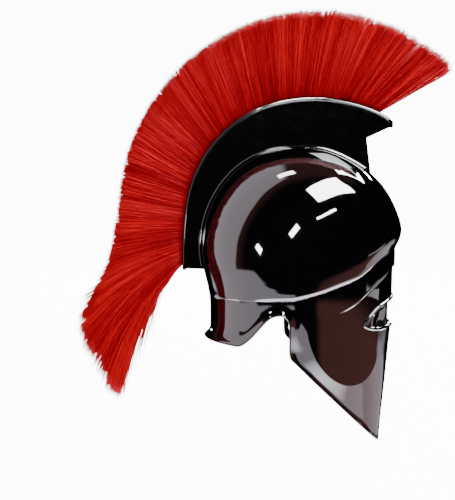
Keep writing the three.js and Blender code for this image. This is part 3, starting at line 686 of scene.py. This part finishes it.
# The top arc from the beak to the rear end, as shares of its reach and of its rise or drop
BOX_ARC = np.array([
    (1, 0.5), (0.915, 0.67), (0.623, 0.885), (0.264, 1), (-0.071, 0.95), (-0.336, 0.85),
    (-0.543, 0.59), (-0.679, 0.31), (-0.821, -0.02), (-0.914, -0.19), (-0.964, -0.354),
    (-1, -0.604), (-1, -1),
])
ARC_STEPS = 90
knots = BOX_ARC * np.stack([
    np.where(BOX_ARC[:, 0] > 0, BOX_FRONT, BOX_BACK),
    np.where(BOX_ARC[:, 1] > 0, BOX_RISE, BOX_TAIL_DROP),
], axis=1)


def spline(knots, steps):
    """Points along a curve through the knots, evenly spaced by length."""
    run = []
    for row in range(len(knots) - 1):
        a, b = knots[max(row - 1, 0)], knots[row]
        c, d = knots[row + 1], knots[min(row + 2, len(knots) - 1)]
        for t in np.linspace(0, 1, 40, endpoint=False):
            start, end = (c - a) / 2, (d - b) / 2
            run.append((2 * b - 2 * c + start + end) * t ** 3
                       + (-3 * b + 3 * c - 2 * start - end) * t ** 2 + start * t + b)
    run.append(knots[-1])
    run = np.array(run)
    length = np.concatenate([[0], np.cumsum(np.linalg.norm(np.diff(run, axis=0), axis=1))])
    even = np.linspace(0, length[-1], steps + 1)
    return np.stack([np.interp(even, length, run[:, axis]) for axis in (0, 1)], axis=1)


def eased_arc(run, reach=30, passes=60):
    """The same curve with its small kinks eased out and both ends kept."""
    run = run.copy()
    ends = np.linspace(0, 1, len(run))
    hold = (ease(ends, 0, 0.12) * ease(1 - ends, 0, 0.12))[:, None]
    for _ in range(passes):
        near = np.pad(run, ((reach // 2, reach // 2), (0, 0)), mode="edge")
        mean = (near[:-reach] + near[reach:]) / 2
        run = run + (mean - run) * hold * 0.5
    return run


FINE_ARC = eased_arc(spline(knots, 1000))
print("arc eased by up to", round(float(np.abs(FINE_ARC - spline(knots, 1000)).max()), 4))


def arc_point(share, outwards=0.0):
    """A point of the arc in side view, moved outwards."""
    share = np.asarray(share, dtype=float)
    place = np.clip(share, 0, 1) * (len(FINE_ARC) - 1)
    index = np.arange(len(FINE_ARC))
    point = np.stack([np.interp(place, index, FINE_ARC[:, axis]) for axis in (0, 1)], axis=-1)
    slope = np.gradient(FINE_ARC, axis=0)
    tangent = np.stack([np.interp(place, index, slope[:, axis]) for axis in (0, 1)], axis=-1)
    tangent /= np.linalg.norm(tangent, axis=-1, keepdims=True)
    normal = np.stack([tangent[..., 1], -tangent[..., 0]], axis=-1)
    return point + normal * np.asarray(outwards)[..., None]


print("crest arc from", np.round(arc_point(0), 3), "to", np.round(arc_point(1), 3))

# %% Crest box
steps = np.linspace(0, 1, ARC_STEPS + 1)
beak = arc_point(0)
web_top = beak[1] - BEAK_DEPTH - (BOX_FRONT - WEB_TOP_AHEAD) * BEAK_SLOPE
box_outline = [
    *arc_point(steps),
    (-BOWL_BACK * 0.8, -BOX_TAIL_DROP - 0.002),
    (-BOWL_BACK * 0.5, -RIDGE_DROP_FRONT * 0.5),
    (WEB_FOOT_AHEAD + 0.004, -RIDGE_DROP_FRONT * 0.5),
    (WEB_TOP_AHEAD, web_top),
    (BOX_FRONT - BEAK_DEPTH * 0.4, beak[1] - BEAK_DEPTH),
]
FAR_OUT = 0.3
room_front = BOX_FRONT - BEAK_DEPTH * 0.8
room = [
    (room_front, FAR_OUT), (-FAR_OUT, FAR_OUT), (-FAR_OUT, CREST_WALL - BOX_TAIL_DROP),
    (-BOWL_BACK * 0.8, CREST_WALL - BOX_TAIL_DROP),
    (-BOWL_BACK * 0.5, -RIDGE_DROP_FRONT * 0.6),
    (WEB_FOOT_AHEAD + 0.004 - CREST_WALL, -RIDGE_DROP_FRONT * 0.6),
    (WEB_TOP_AHEAD - CREST_WALL, web_top + CREST_WALL),
    (room_front, beak[1] - BEAK_DEPTH + CREST_WALL),
]
box = plate("crest_case", box_outline, BOX_WIDTH)
cut(box, plate("room", room, BOX_WIDTH - 2 * CREST_WALL))
bevel(box, 0.0004, 2, 50)

# %% Close the bowl's form and cut the foot with it
# Faces that were selected for smoothing are deleted here too, which takes the dome away
bowl_form.data.vertices.foreach_set("select", ~above_ridge(bowl_form, CUTTER_SHARE))
with edit_mode(bowl_form):
    bpy.ops.mesh.delete(type="VERT")
    bpy.ops.mesh.select_all(action="SELECT")
    bpy.ops.transform.shrink_fatten(value=CLEARANCE)
    close_borders()
face_outwards(bowl_form)

half = BOX_WIDTH / 2
foot = []
for front, shares in (
    (True, np.concatenate([np.linspace(0.225, 0.03, 24), [0.021, 0.015]])),
    (False, np.concatenate([[0.018, 0.024, 0.032], np.linspace(0.045, 0.8, 60)])),
):
    for share in shares:
        low, high = (0.0, 90.0) if front else (90.0, 180.0)
        for _ in range(40):
            middle = (low + high) / 2
            inside = (bowl_point(middle, share)[1] < half) == front
            low, high = (middle, high) if inside else (low, middle)
        foot.append(bowl_point((low + high) / 2, share))
foot = np.array([bowl_point(0.0, 0.225)] + foot)
foot_bead = bead("crest_foot", both_sides(foot), FOOT_RADIUS, sides=5)
cut(box, copy_of(bowl_form))
cut(foot_bead, bowl_form)
cut(foot_bead, plate("foot_room", room, BOX_WIDTH - 2 * CREST_WALL))
smooth(box, 30)
apply_modifier(box, "WEIGHTED_NORMAL", mode="FACE_AREA", weight=100, keep_sharp=True)
smooth(foot_bead, 50)
print("crest box", triangles(box), "foot", triangles(foot_bead), "triangles")

# %% [markdown]
# The lip is a narrow band folded over the top edge of the box. It closes round the beak and at
# the rear end. A thin roll along each side carries the long highlight of the crest.

# %% Crest lip
cover = CLEARANCE + LIP_PROUD
band_width = BOX_WIDTH + 2 * cover
depth = LIP_HEIGHT * (1 - 0.5 * steps)
band = np.concatenate([arc_point(steps, LIP_PROUD / 2), arc_point(steps, -depth)[::-1]])
lip = plate("crest_band", band, band_width)
end = arc_point(1)
for name, back, front, low, high in (
    ("beak", beak[0] - BEAK_DEPTH, beak[0] + cover, beak[1] - BEAK_DEPTH, beak[1] + LIP_PROUD / 2),
    ("heel", end[0] - LIP_PROUD / 2, end[0] + LIP_HEIGHT * 0.5, end[1] - CLEARANCE - LIP_PROUD,
     end[1] + LIP_HEIGHT),
):
    block = plate(name, [(back, high), (back, low), (front, low), (front, high)], band_width)
    cut(lip, block, "UNION")
inner_front, inner_foot = beak[0] + CLEARANCE, end[1] - CLEARANCE
cut(lip, plate("inside", [
    (inner_front, FAR_OUT), (-FAR_OUT, FAR_OUT), (-FAR_OUT, inner_foot), (inner_front, inner_foot),
], BOX_WIDTH + 2 * CLEARANCE))
bevel(lip, 0.0007, 4, 50)
smooth(lip, 40)
LIP_ROLL_RADIUS = 0.0019
roll_line = arc_point(np.linspace(0.004, 0.992, 160), -LIP_HEIGHT * 0.26)
lip_rolls = []
for side, name in ((1, "lip_roll_left"), (-1, "lip_roll_right")):
    across = np.full(len(roll_line), side * (band_width / 2 - LIP_ROLL_RADIUS * 0.4))
    line = np.stack([roll_line[:, 0], across, roll_line[:, 1]], axis=1)
    lip_rolls.append(bead(name, line, LIP_ROLL_RADIUS))
    smooth(lip_rolls[-1], 60)
print("crest lip", triangles(lip), "triangles")

# %% [markdown]
# The plume is dyed horsehair set in the crest box. Real hair can't be modelled one by one, so a
# soft inner body carries the mass, and sixteen thousand tapered strands in tufts make what is
# seen. A table says where each part of the plume is rooted, how long its hair is, where it
# points and how far it first stands out before it falls.

# %% Plume measures
HAIR_LENGTH, TAIL_LENGTH, HAIR_SPREAD, ROOT_DEPTH = 0.110, 0.180, 0.021, 0.0052
# Place from the beak to the tail, root on the arc, shares of both lengths, bearing, stand out
HAIR = np.array([
    (0, 0.055, 0.98, 0, 34, 0), (0.07, 0.1, 0.97, 0, 48, 0.1), (0.18, 0.21, 1, 0, 71, 0.1),
    (0.3, 0.34, 0.98, 0, 92, 0.1), (0.42, 0.46, 0.93, 0, 108, 0.1), (0.51, 0.56, 0.9, 0, 121, 0.12),
    (0.6, 0.66, 0.85, 0, 139, 0.14), (0.69, 0.76, 0.82, 0, 157, 0.18), (0.78, 0.86, 0.8, 0, 177, 0.25),
    (0.86, 0.925, 0.6, 0.22, 200, 0.35), (0.93, 0.955, 0.3, 0.66, 216, 0.4), (1, 0.975, 0, 1, 239, 0.4),
])
ROOT_HALF = BOX_WIDTH / 2 - CREST_WALL - 0.0012


def hair_path(place, length, turn):
    """Root, middle and tip of hairs in side view."""
    root_share = read(HAIR, 1, place)
    reach = length * (HAIR_LENGTH * read(HAIR, 2, place) + TAIL_LENGTH * read(HAIR, 3, place))
    bearing = np.radians(read(HAIR, 4, place) + turn)
    root = arc_point(root_share, -ROOT_DEPTH)
    tip = root + np.stack([np.cos(bearing), np.sin(bearing)], axis=-1) * reach[..., None]
    straight = arc_point(root_share, reach * 0.5)
    bend = read(HAIR, 5, place)[..., None]
    return root, (root + tip) / 2 * (1 - bend) + straight * bend, tip


def along_path(root, middle, tip, t):
    return (1 - t) ** 2 * root + 2 * t * (1 - t) * middle + t ** 2 * tip


print("longest hair", TAIL_LENGTH)

# %% Inner body of the plume
# Share of the hair's length, half thickness
CORE_SECTION = np.array([
    (0, 0.0085), (0.2, 0.0095), (0.45, 0.0112), (0.7, 0.0112), (0.86, 0.0085), (0.94, 0.0040),
])
loop = np.concatenate([CORE_SECTION, (CORE_SECTION * (1, -1))[::-1]])
# CORE_TONE gives the inner body a deep tone. With its darker finish, this is painted shade for the middle
# of the plume.
CORE_STEPS, CORE_TONE = 120, 0.3
core = new_grid("plume_body", len(loop), CORE_STEPS)
flat = points_of(core)
corner = np.rint((flat[:, 0] + 0.5) * len(loop)).astype(int) % len(loop)
place = flat[:, 1] + 0.5
root, middle, tip = hair_path(place, np.ones(len(place)), np.zeros(len(place)))
side = along_path(root, middle, tip, loop[corner, 0][:, None])
place_points(core, np.stack([side[:, 0], loop[corner, 1], side[:, 1]], axis=1))
body_uv = core.data.uv_layers.active or core.data.uv_layers.new(name="strand")
body_uv.name = "strand"
loops = np.empty(len(core.data.loops), dtype=int)
core.data.loops.foreach_get("vertex_index", loops)
strand_uv = np.stack([np.full(len(place), CORE_TONE), loop[corner, 0]], axis=1)
body_uv.data.foreach_set("uv", strand_uv[loops].ravel())
with edit_mode(core, "SELECT"):
    bpy.ops.mesh.remove_doubles(threshold=1e-6)
    close_borders()
face_outwards(core)
smooth(core, 80)
print("plume body", triangles(core), "triangles")

# %% Strands
STRANDS = 16200
TUFT = 14
RINGS = np.array([0, 0.2, 0.45, 0.7, 0.92])
RING_RADIUS = np.array([0.9, 1, 1, 0.95, 0.75])
rng = np.random.default_rng(7)


def strands(name, first, last, count):
    """Tapered three-sided hairs between two places of the plume, as one mesh."""
    tufts = count // TUFT
    count = tufts * TUFT
    tuft = np.repeat(np.arange(tufts), TUFT)
    tuft_place = rng.uniform(first, last, tufts)
    place = np.clip(tuft_place[tuft] + rng.normal(0, 0.0035, count), 0, 1)
    turn = rng.normal(0, 1.6, tufts)[tuft] + rng.normal(0, 1.1, count)
    length = 0.995 + rng.normal(0, 0.010, tufts)[tuft] + rng.normal(0, 0.010, count)
    length *= np.where(rng.random(count) < 0.1, rng.uniform(0.55, 0.95, count), 1)
    length *= 1 + 0.05 * ease(place, 0.8, 0.95)
    turn *= 1 - 0.5 * ease(place, 0.95, 1)
    turn += 4 * ease(place, 0.93, 1) * rng.uniform(0, 1.2, count)
    side = np.sign(rng.uniform(-1, 1, tufts)) * rng.uniform(0, 1, tufts) ** 0.6
    y_root = ROOT_HALF * np.clip(side[tuft] + rng.normal(0, 0.09, count), -1, 1)
    root, middle, tip = hair_path(place, length, turn)
    middle = middle + rng.normal(0, 0.0012, (count, 2))
    y_mid = y_root * 1.55 + rng.normal(0, 0.0006, tufts)[tuft]
    y_tip = y_root * 1.6 + rng.normal(0, 0.0014, tufts)[tuft] + rng.normal(0, 0.0009, count)
    levels = np.append(RINGS, 1.0)
    spine = np.empty((count, len(levels), 3))
    for row, t in enumerate(levels):
        flat = along_path(root, middle, tip, t)
        spine[:, row, 0], spine[:, row, 2] = flat[:, 0], flat[:, 1]
        spine[:, row, 1] = along_path(y_root, y_mid, y_tip, t)
    ahead = np.gradient(spine, axis=1)
    ahead /= np.linalg.norm(ahead, axis=2, keepdims=True)
    across = np.cross(ahead, (0.0, 1.0, 0.0))
    across /= np.linalg.norm(across, axis=2, keepdims=True)
    up = np.cross(across, ahead)
    radius = rng.uniform(0.00042, 0.00062, count)[:, None] * RING_RADIUS[None, :]
    spin = rng.uniform(0, 2 * math.pi, count)
    vertices = np.empty((count, len(RINGS) * 3 + 1, 3))
    for corner in range(3):
        angle = spin + corner * 2 * math.pi / 3
        push = np.cos(angle)[:, None, None] * across + np.sin(angle)[:, None, None] * up
        ring = spine[:, :-1] + push[:, :-1] * radius[:, :, None]
        vertices[:, corner:-1:3] = ring
    vertices[:, -1] = spine[:, -1]
    faces, last_ring = [(2, 1, 0)], (len(RINGS) - 1) * 3
    for row in range(len(RINGS) - 1):
        for corner in range(3):
            a, b = row * 3 + corner, row * 3 + (corner + 1) % 3
            faces.append((a, b, b + 3, a + 3))
    for corner in range(3):
        faces.append((last_ring + corner, last_ring + (corner + 1) % 3, last_ring + 3))
    sizes = np.array([len(face) for face in faces])
    pattern = np.concatenate([np.array(face) for face in faces])
    per_strand = vertices.shape[1]
    index = (pattern[None, :] + np.arange(count)[:, None] * per_strand).ravel()
    mesh = bpy.data.meshes.new(name)
    mesh.vertices.add(count * per_strand)
    mesh.vertices.foreach_set("co", vertices.ravel())
    mesh.loops.add(len(index))
    mesh.loops.foreach_set("vertex_index", index.astype(np.int32))
    mesh.polygons.add(count * len(faces))
    all_sizes = np.tile(sizes, count)
    starts = np.concatenate([[0], np.cumsum(all_sizes)[:-1]]).astype(np.int32)
    mesh.polygons.foreach_set("loop_start", starts)
    mesh.polygons.foreach_set("use_smooth", np.ones(len(starts), dtype=bool))
    shade = rng.random(tufts)[tuft] * 0.5 + rng.random(count) * 0.5
    down = np.append(np.repeat(RINGS, 3), 1.0)
    tones = np.repeat(shade[:, None], len(pattern), 1)
    uv = np.stack([tones, np.tile(down[pattern], (count, 1))], axis=2)
    mesh.uv_layers.new(name="strand").data.foreach_set("uv", uv.ravel())
    mesh.update(calc_edges=True)
    mesh.validate()
    return new_object(name, mesh)


hair = [
    strands("plume_hair_front", -0.006, 0.34, STRANDS // 3),
    strands("plume_hair_top", 0.34, 0.68, STRANDS // 3),
    strands("plume_hair_tail", 0.68, 1.03, STRANDS // 3),
]
print("hair", [triangles(piece) for piece in hair])

# %% [markdown]
# The black finish is a thin gloss layer over polished steel. It is dark and mirror bright, with
# faint waves of the hammered sheet and a little handling haze. One node group gives both.

# %% Shared surface group
def node(tree, kind, **values):
    made = tree.nodes.new(kind)
    for key, value in values.items():
        if key in made.inputs:
            made.inputs[key].default_value = value
        else:
            setattr(made, key, value)
    return made


def set_inputs(made, settings):
    for key, value in settings.items():
        made.inputs[key].default_value = value


def new_material(name, settings):
    material = bpy.data.materials.new(name)
    material.use_nodes = True
    shader = material.node_tree.nodes["Principled BSDF"]
    set_inputs(shader, settings)
    return material, material.node_tree, shader


def link(source, output, target, into):
    """Joins an output of one node to an input of another."""
    source.id_data.links.new(source.outputs[output], target.inputs[into])


def math_node(operation, first, second=None, third=None):
    """Works on the first value, which is a socket, in that socket's own tree."""
    tree = first.id_data
    made = tree.nodes.new("ShaderNodeMath")
    made.operation = operation
    for socket, value in zip(made.inputs, (first, second, third)):
        if value is None:
            continue
        if isinstance(value, (int, float)):
            socket.default_value = value
        else:
            tree.links.new(value, socket)
    return made.outputs["Value"]


def times(first, second):
    return math_node("MULTIPLY", first, second)


def most(first, second):
    return math_node("MAXIMUM", first, second)


def fade(value, low, high, start=0.0, end=1.0):
    """Goes smoothly from start to end while the value goes from low to high."""
    tree = value.id_data
    made = tree.nodes.new("ShaderNodeMapRange")
    made.interpolation_type = "SMOOTHSTEP"
    for socket, number in zip(("From Min", "From Max", "To Min", "To Max"), (low, high, start, end)):
        made.inputs[socket].default_value = number
    tree.links.new(value, made.inputs["Value"])
    return made.outputs["Result"]


def surface_marks():
    """Group that gives a haze mask and a height from position: waves and haze."""
    group = bpy.data.node_groups.new("surface_marks", "ShaderNodeTree")
    for name, way, kind in (
        ("Place", "INPUT", "Vector"), ("Wave Size", "INPUT", "Float"),
        ("Haze Size", "INPUT", "Float"), ("Haze Low", "INPUT", "Float"),
        ("Haze High", "INPUT", "Float"), ("Roughness", "OUTPUT", "Float"), ("Height", "OUTPUT", "Float"),
    ):
        group.interface.new_socket(name=name, in_out=way, socket_type=f"NodeSocket{kind}")
    start, finish = node(group, "NodeGroupInput"), node(group, "NodeGroupOutput")
    wave = node(group, "ShaderNodeTexNoise", Detail=1.0)
    haze = node(group, "ShaderNodeTexNoise", Detail=6.0, Roughness=0.65)
    spread = node(group, "ShaderNodeMapRange")
    set_inputs(spread, {"From Min": 0.35, "From Max": 0.75})
    link(start, "Place", wave, "Vector")
    link(start, "Wave Size", wave, "Scale")
    link(start, "Place", haze, "Vector")
    link(start, "Haze Size", haze, "Scale")
    link(haze, "Fac", spread, "Value")
    link(start, "Haze Low", spread, "To Min")
    link(start, "Haze High", spread, "To Max")
    link(spread, "Result", finish, "Roughness")
    link(wave, "Fac", finish, "Height")
    return group


marks = surface_marks()
print("group", marks.name)

# %% Black steel
def cheek_turn(axes):
    """Bump that turns the cheek's mirror images more than the sheet's own fall does."""
    x, z = axes.outputs["X"], axes.outputs["Z"]
    below = math_node("ADD", z, -OVAL_TOP)
    lean = math_node("MULTIPLY_ADD", below, OVAL_LEAN, math_node("SUBTRACT", x, OVAL_AHEAD))
    wide = times(lean, 1 / OVAL_HALF_WIDTH)
    deep = times(math_node("MINIMUM", below, 0.0), 1 / OVAL_DEPTH)
    square = math_node("MULTIPLY_ADD", wide, wide, times(deep, deep))
    outside = math_node("SUBTRACT", math_node("SQRT", square), 1.0)
    outside = most(outside, 0.0)
    fades = fade(z, FALL_WHOLE, FALL_STARTS, -CHEEK_TURN, 0.0)
    on_cheek = math_node("GREATER_THAN", x, FALL_BACK)
    return times(outside, times(fades, on_cheek))


def steel(name, color, gloss, haze_low, haze_high, wave_height, shape=None):
    material, tree, shader = new_material(name, {"Base Color": (*color, 1), "IOR": gloss})
    place = node(tree, "ShaderNodeTexCoord")
    group = node(tree, "ShaderNodeGroup")
    group.node_tree = marks
    sizes = {"Wave Size": 28.0, "Haze Size": 90.0}
    set_inputs(group, {**sizes, "Haze Low": haze_low, "Haze High": haze_high})
    bump = node(tree, "ShaderNodeBump", Strength=1.0, Distance=1.0)
    axes = node(tree, "ShaderNodeSeparateXYZ")
    link(place, "Object", axes, "Vector")
    form = shape(axes) if shape else 0.0
    height = math_node("MULTIPLY_ADD", group.outputs["Height"], wave_height, form)
    link(place, "Object", group, "Place")
    link(group, "Roughness", shader, "Roughness")
    tree.links.new(height, bump.inputs["Height"])
    link(bump, "Normal", shader, "Normal")
    return material


black_steel = steel("black_steel", (0.0015, 0.0015, 0.002), 1.62, 0.02, 0.06, 0.0004, cheek_turn)
crest_steel = steel("crest_steel", (0.0015, 0.0015, 0.0015), 1.5, 0.05, 0.1, 0.0003)
print("steel", black_steel.name)

# %% [markdown]
# Dyed horsehair looks deep red where it is packed and in shade, and bright where single hairs catch
# the light. The colour follows each strand: its tuft has a tone of its own at random between deep
# and bright red, and a painted shade makes the root darker than the tip.

# %% Red hair
DEEP_RED, BRIGHT_RED = (0.24, 0.0005, 0.004), (0.80, 0.002, 0.012)


def hair_finish(name, gain):
    material, tree, shader = new_material(name, {
        "Roughness": 0.5, "Specular IOR Level": 0.25, "Specular Tint": (1.0, 0.06, 0.09, 1),
    })
    strand = node(tree, "ShaderNodeUVMap", uv_map="strand")
    split = node(tree, "ShaderNodeSeparateXYZ")
    tone = node(tree, "ShaderNodeValToRGB")
    for element, color in zip(tone.color_ramp.elements, (DEEP_RED, BRIGHT_RED)):
        element.color = (*(part * gain for part in color), 1)
    # Painted shade: each strand is darkened to half at its root and reaches its full colour at three
    # quarters of its length.
    shade = node(tree, "ShaderNodeValToRGB")
    shade.color_ramp.elements[0].color = (0.5, 0.5, 0.5, 1)
    shade.color_ramp.elements[1].color = (1, 1, 1, 1)
    shade.color_ramp.elements[1].position = 0.75
    mix = node(tree, "ShaderNodeMix", data_type="RGBA", blend_type="MULTIPLY")
    mix.inputs["Factor"].default_value = 1.0
    link(strand, "UV", split, "Vector")
    link(split, "X", tone, "Fac")
    link(split, "Y", shade, "Fac")
    link(tone, "Color", mix, "A")
    link(shade, "Color", mix, "B")
    link(mix, "Result", shader, "Base Color")
    return material


red_hair = hair_finish("red_hair", 1.0)
# The inner body's finish is three quarters as bright as the strands': painted shade for the middle of the
# plume.
inner_hair_painted_shade = hair_finish("inner_hair_painted_shade", 0.75)
print("hair finish", red_hair.name)

# %% [markdown]
# A black mirror shows its surroundings more than itself, so the room is built for what the steel
# should reflect: a pale table under the helmet, a pale wall behind its crest and above, and a
# dark room in front with a window and a few lamps. Wall and table are alike on both sides. The
# front corner, a skylight and a door are not, because they are set for the view from the right,
# so the helmet mirrors other things from its left. What the camera sees stays plain white.

# %% Room
WHITE_SEEN = 12.0
PALE, BRIGHT = 3.0, 20.0
SOFT_LIGHT, FLOOR_GLOW = 0.55, 0.4
WALL_FACES = (-0.40, 0.83, 0.22)
world = bpy.data.worlds.new("room")
bpy.context.scene.world = world
world.use_nodes = True
tree = world.node_tree
tree.nodes.clear()
place = node(tree, "ShaderNodeTexCoord")
axes = node(tree, "ShaderNodeSeparateXYZ")
link(place, "Generated", axes, "Vector")
x, far, up = axes.outputs["X"], axes.outputs["Y"], axes.outputs["Z"]
y = times(math_node("ABSOLUTE", axes.outputs["Y"]), -1.0)
# The wall starts where a direction turns towards it, and stops ahead of the crown
wall = times(x, WALL_FACES[0])
wall = math_node("MULTIPLY_ADD", y, WALL_FACES[1], wall)
wall = math_node("MULTIPLY_ADD", up, WALL_FACES[2], wall)
wall_pale = fade(wall, -0.01, 0.03, 0.0, PALE)
wall_pale = times(wall_pale, fade(x, -0.22, -0.1, 1.0, 0.0))
wall_warm = fade(wall, -0.22, -0.02, 0.0, 0.35)
# The table starts lower in front, and its far corners are cut
table_starts = fade(x, 0.05, 0.15, 0.37, 0.60)
for corner_cut in (fade(x, -0.7, -0.6, -0.06, 0.0), fade(x, 0.45, 0.65, 0.0, -0.08)):
    table_starts = math_node("ADD", table_starts, corner_cut)
table_depth = math_node("SUBTRACT", times(up, -1.0), table_starts)
table_pale = fade(table_depth, 0.0, 0.03, 0.0, PALE)
table_bright = fade(up, -0.8, -0.6, BRIGHT, 0.0)
# A pale corner in front, on the far side of the photographed view, and a bright patch below it
corner_side = math_node("MULTIPLY_ADD", up, -1.5, math_node("SUBTRACT", far, 0.54))
corner = times(fade(corner_side, 0.06, 0.14), fade(x, 0.1, 0.3))
corner_pale = times(corner, fade(up, -0.30, -0.24, PALE * 0.6, 0.0))
corner_pale = times(corner_pale, fade(far, 0.62, 0.72, 1.0, 0.0))
depth = math_node("SUBTRACT", up, fade(far, 0.38, 0.52, 0.0, 0.18))
corner_bright = times(corner, fade(depth, -0.67, -0.61, BRIGHT, 0.0))
corner_light = most(corner_pale, corner_bright)
# The warm light in front stands for the plume and the brown surroundings
front_warm = times(fade(x, 0.36, 0.5), fade(up, -0.38, -0.22, 0.8, 0.0))
grey = most(most(wall_pale, table_pale), table_bright)
grey = most(grey, corner_light)
front_warm = times(front_warm, fade(far, 0.3, 0.5, 1.0, 0.0))
warm = most(wall_warm, front_warm)
pale_light = node(tree, "ShaderNodeBackground", Color=(0.95, 0.91, 1.0, 1))
tree.links.new(grey, pale_light.inputs["Strength"])
warm_light = node(tree, "ShaderNodeBackground", Color=(1.0, 0.38, 0.32, 1))
tree.links.new(warm, warm_light.inputs["Strength"])
mirrored = node(tree, "ShaderNodeAddShader")
link(pale_light, "Background", mirrored, 0)
link(warm_light, "Background", mirrored, 1)
soft = node(tree, "ShaderNodeBackground", Color=(1, 1, 1, 1), Strength=SOFT_LIGHT)
seen = node(tree, "ShaderNodeBackground", Color=(1, 1, 1, 1), Strength=WHITE_SEEN)
path = node(tree, "ShaderNodeLightPath")
for_glossy = node(tree, "ShaderNodeMixShader")
link(path, "Is Glossy Ray", for_glossy, "Fac")
link(soft, "Background", for_glossy, 1)
link(mirrored, "Shader", for_glossy, 2)
for_camera = node(tree, "ShaderNodeMixShader")
link(path, "Is Camera Ray", for_camera, "Fac")
link(for_glossy, "Shader", for_camera, 1)
link(seen, "Background", for_camera, 2)
out = node(tree, "ShaderNodeOutputWorld")
link(for_camera, "Shader", out, "Surface")
print("room nodes", len(tree.nodes))

# %% [markdown]
# The floor is a plain pale sheet under the helmet, as in a product photograph. It is as white as
# the wall to the camera, gives only a soft light from below, and lets mirrors see the room.

# %% Floor
deselect()
bpy.ops.mesh.primitive_plane_add(size=12, location=(0, 0, -0.42))
floor = newest("floor")
pale, tree, shader = new_material("pale_floor", {
    "Base Color": (0.86, 0.86, 0.86, 1), "Roughness": 0.8, "Emission Color": (1, 1, 1, 1),
})
path = node(tree, "ShaderNodeLightPath")
seen_glow = WHITE_SEEN - FLOOR_GLOW
glow = math_node("MULTIPLY_ADD", path.outputs["Is Camera Ray"], seen_glow, FLOOR_GLOW)
tree.links.new(glow, shader.inputs["Emission Strength"])
clear = node(tree, "ShaderNodeBsdfTransparent")
choose = node(tree, "ShaderNodeMixShader")
link(path, "Is Glossy Ray", choose, "Fac")
link(shader, "BSDF", choose, 1)
link(clear, "BSDF", choose, 2)
tree.links.new(choose.outputs["Shader"], tree.nodes["Material Output"].inputs["Surface"])
floor.data.materials.append(pale)
floor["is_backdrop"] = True
print("floor at", floor.location.z)

# %% [markdown]
# The lamps come in two kinds. Cards are only seen in the steel, as the window and the lamps of
# the room, and soft lamps light the hair and aren't seen in the steel. Each card stands where
# the mirror direction from the bowl meets the room, on both sides or on the right alone.

# %% Lamps
ROOM_SIZE = 2.5
BOWL_SIDE, HAIR_MIDDLE = (0.0, -0.07, -0.06), Vector((-0.08, 0, 0.02))


def lamp(name, size, power, color):
    light = bpy.data.lights.new(name, "AREA")
    light.shape = "RECTANGLE"
    light.size, light.size_y = size
    light.energy = power
    light.color = color
    return new_object(name, light)


def card(name, middle, along, width, height, brightness, sides=("right", "left")):
    """Rectangle of light seen only in the steel; directions and sizes are for a room of 1."""
    for side in sides:
        mirror = 1 if side == "right" else -1
        toward = Vector((middle[0], middle[1] * mirror, middle[2]))
        run = Vector((along[0], along[1] * mirror, along[2]))
        size = (width * ROOM_SIZE, height * ROOM_SIZE)
        made = lamp(f"{name}_{side}", size, brightness * math.pi * size[0] * size[1], (1, 1, 1))
        back = toward.normalized()
        across = (run - run.dot(back) * back).normalized()
        made.matrix_world = Matrix((across, back.cross(across), back)).transposed().to_4x4()
        start = Vector((BOWL_SIDE[0], BOWL_SIDE[1] * mirror, BOWL_SIDE[2]))
        made.location = start + toward * ROOM_SIZE
        made.visible_diffuse = False


card("window", (0.435, -0.40, 0.715), (0.36, 0.42, 0.085), 0.68, 0.33, 110)
card("strip", (0.455, -0.785, 0.38), (0.29, 0.23, 0.12), 0.37, 0.04, 110)
card("lamp_near", (0.01, -0.975, 0.195), (0.14, 0.03, 0.13), 0.17, 0.085, 110)
card("lamp_far", (-0.615, -0.78, -0.07), (0.1, -0.07, -0.1), 0.10, 0.07, 110)
card("skylight", (-0.16, -0.16, 0.97), (0.3, 0.1, 0.05), 0.26, 0.12, 60, ["right"])
card("door", (0.976, -0.076, -0.240), (0, 1, 0), 0.5, 0.056, 3, ["right"])


def soft_lamp(name, place, size, power):
    made = lamp(name, size, power, (1, 1, 1))
    made.rotation_euler = (Vector(place) - HAIR_MIDDLE).to_track_quat("Z", "Y").to_euler()
    made.location = place
    made.visible_glossy = False


soft_lamp("soft_right", (-0.1, -2.1, 0.9), (1.2, 1.2), 33)
soft_lamp("soft_left", (-0.1, 2.1, 0.9), (1.2, 1.2), 33)
soft_lamp("soft_top", (-0.2, 0, 2.2), (1.6, 1.6), 10)

# %% Finishes and bodies
def finish_piece(piece, material, slot_name, *nodes):
    piece.data.materials.clear()
    piece.data.materials.append(material)
    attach(piece, "root")
    if nodes:
        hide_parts(*nodes)


finish_piece(sheet, black_steel, "black_steel", "helmet_shell")
finish_piece(edge_roll, crest_steel, "black_steel")
for piece in (eye_rim, *slit_edges):
    finish_piece(piece, black_steel, "black_steel")
finish_piece(nose, black_steel, "black_steel", "nose_guard")
finish_piece(box, crest_steel, "black_steel", "crest_box")
finish_piece(foot_bead, black_steel, "black_steel")
finish_piece(lip, crest_steel, "black_steel", "crest_lip")
for piece in lip_rolls:
    finish_piece(piece, black_steel, "black_steel")
finish_piece(core, inner_hair_painted_shade, "red_hair", "plume")
for piece in hair:
    finish_piece(piece, red_hair, "red_hair")
low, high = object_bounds()
print("visual box", [round(v, 4) for v in low], [round(v, 4) for v in high])
{"cad": [list(cad_low), list(cad_high)], "visual": [list(low), list(high)]}
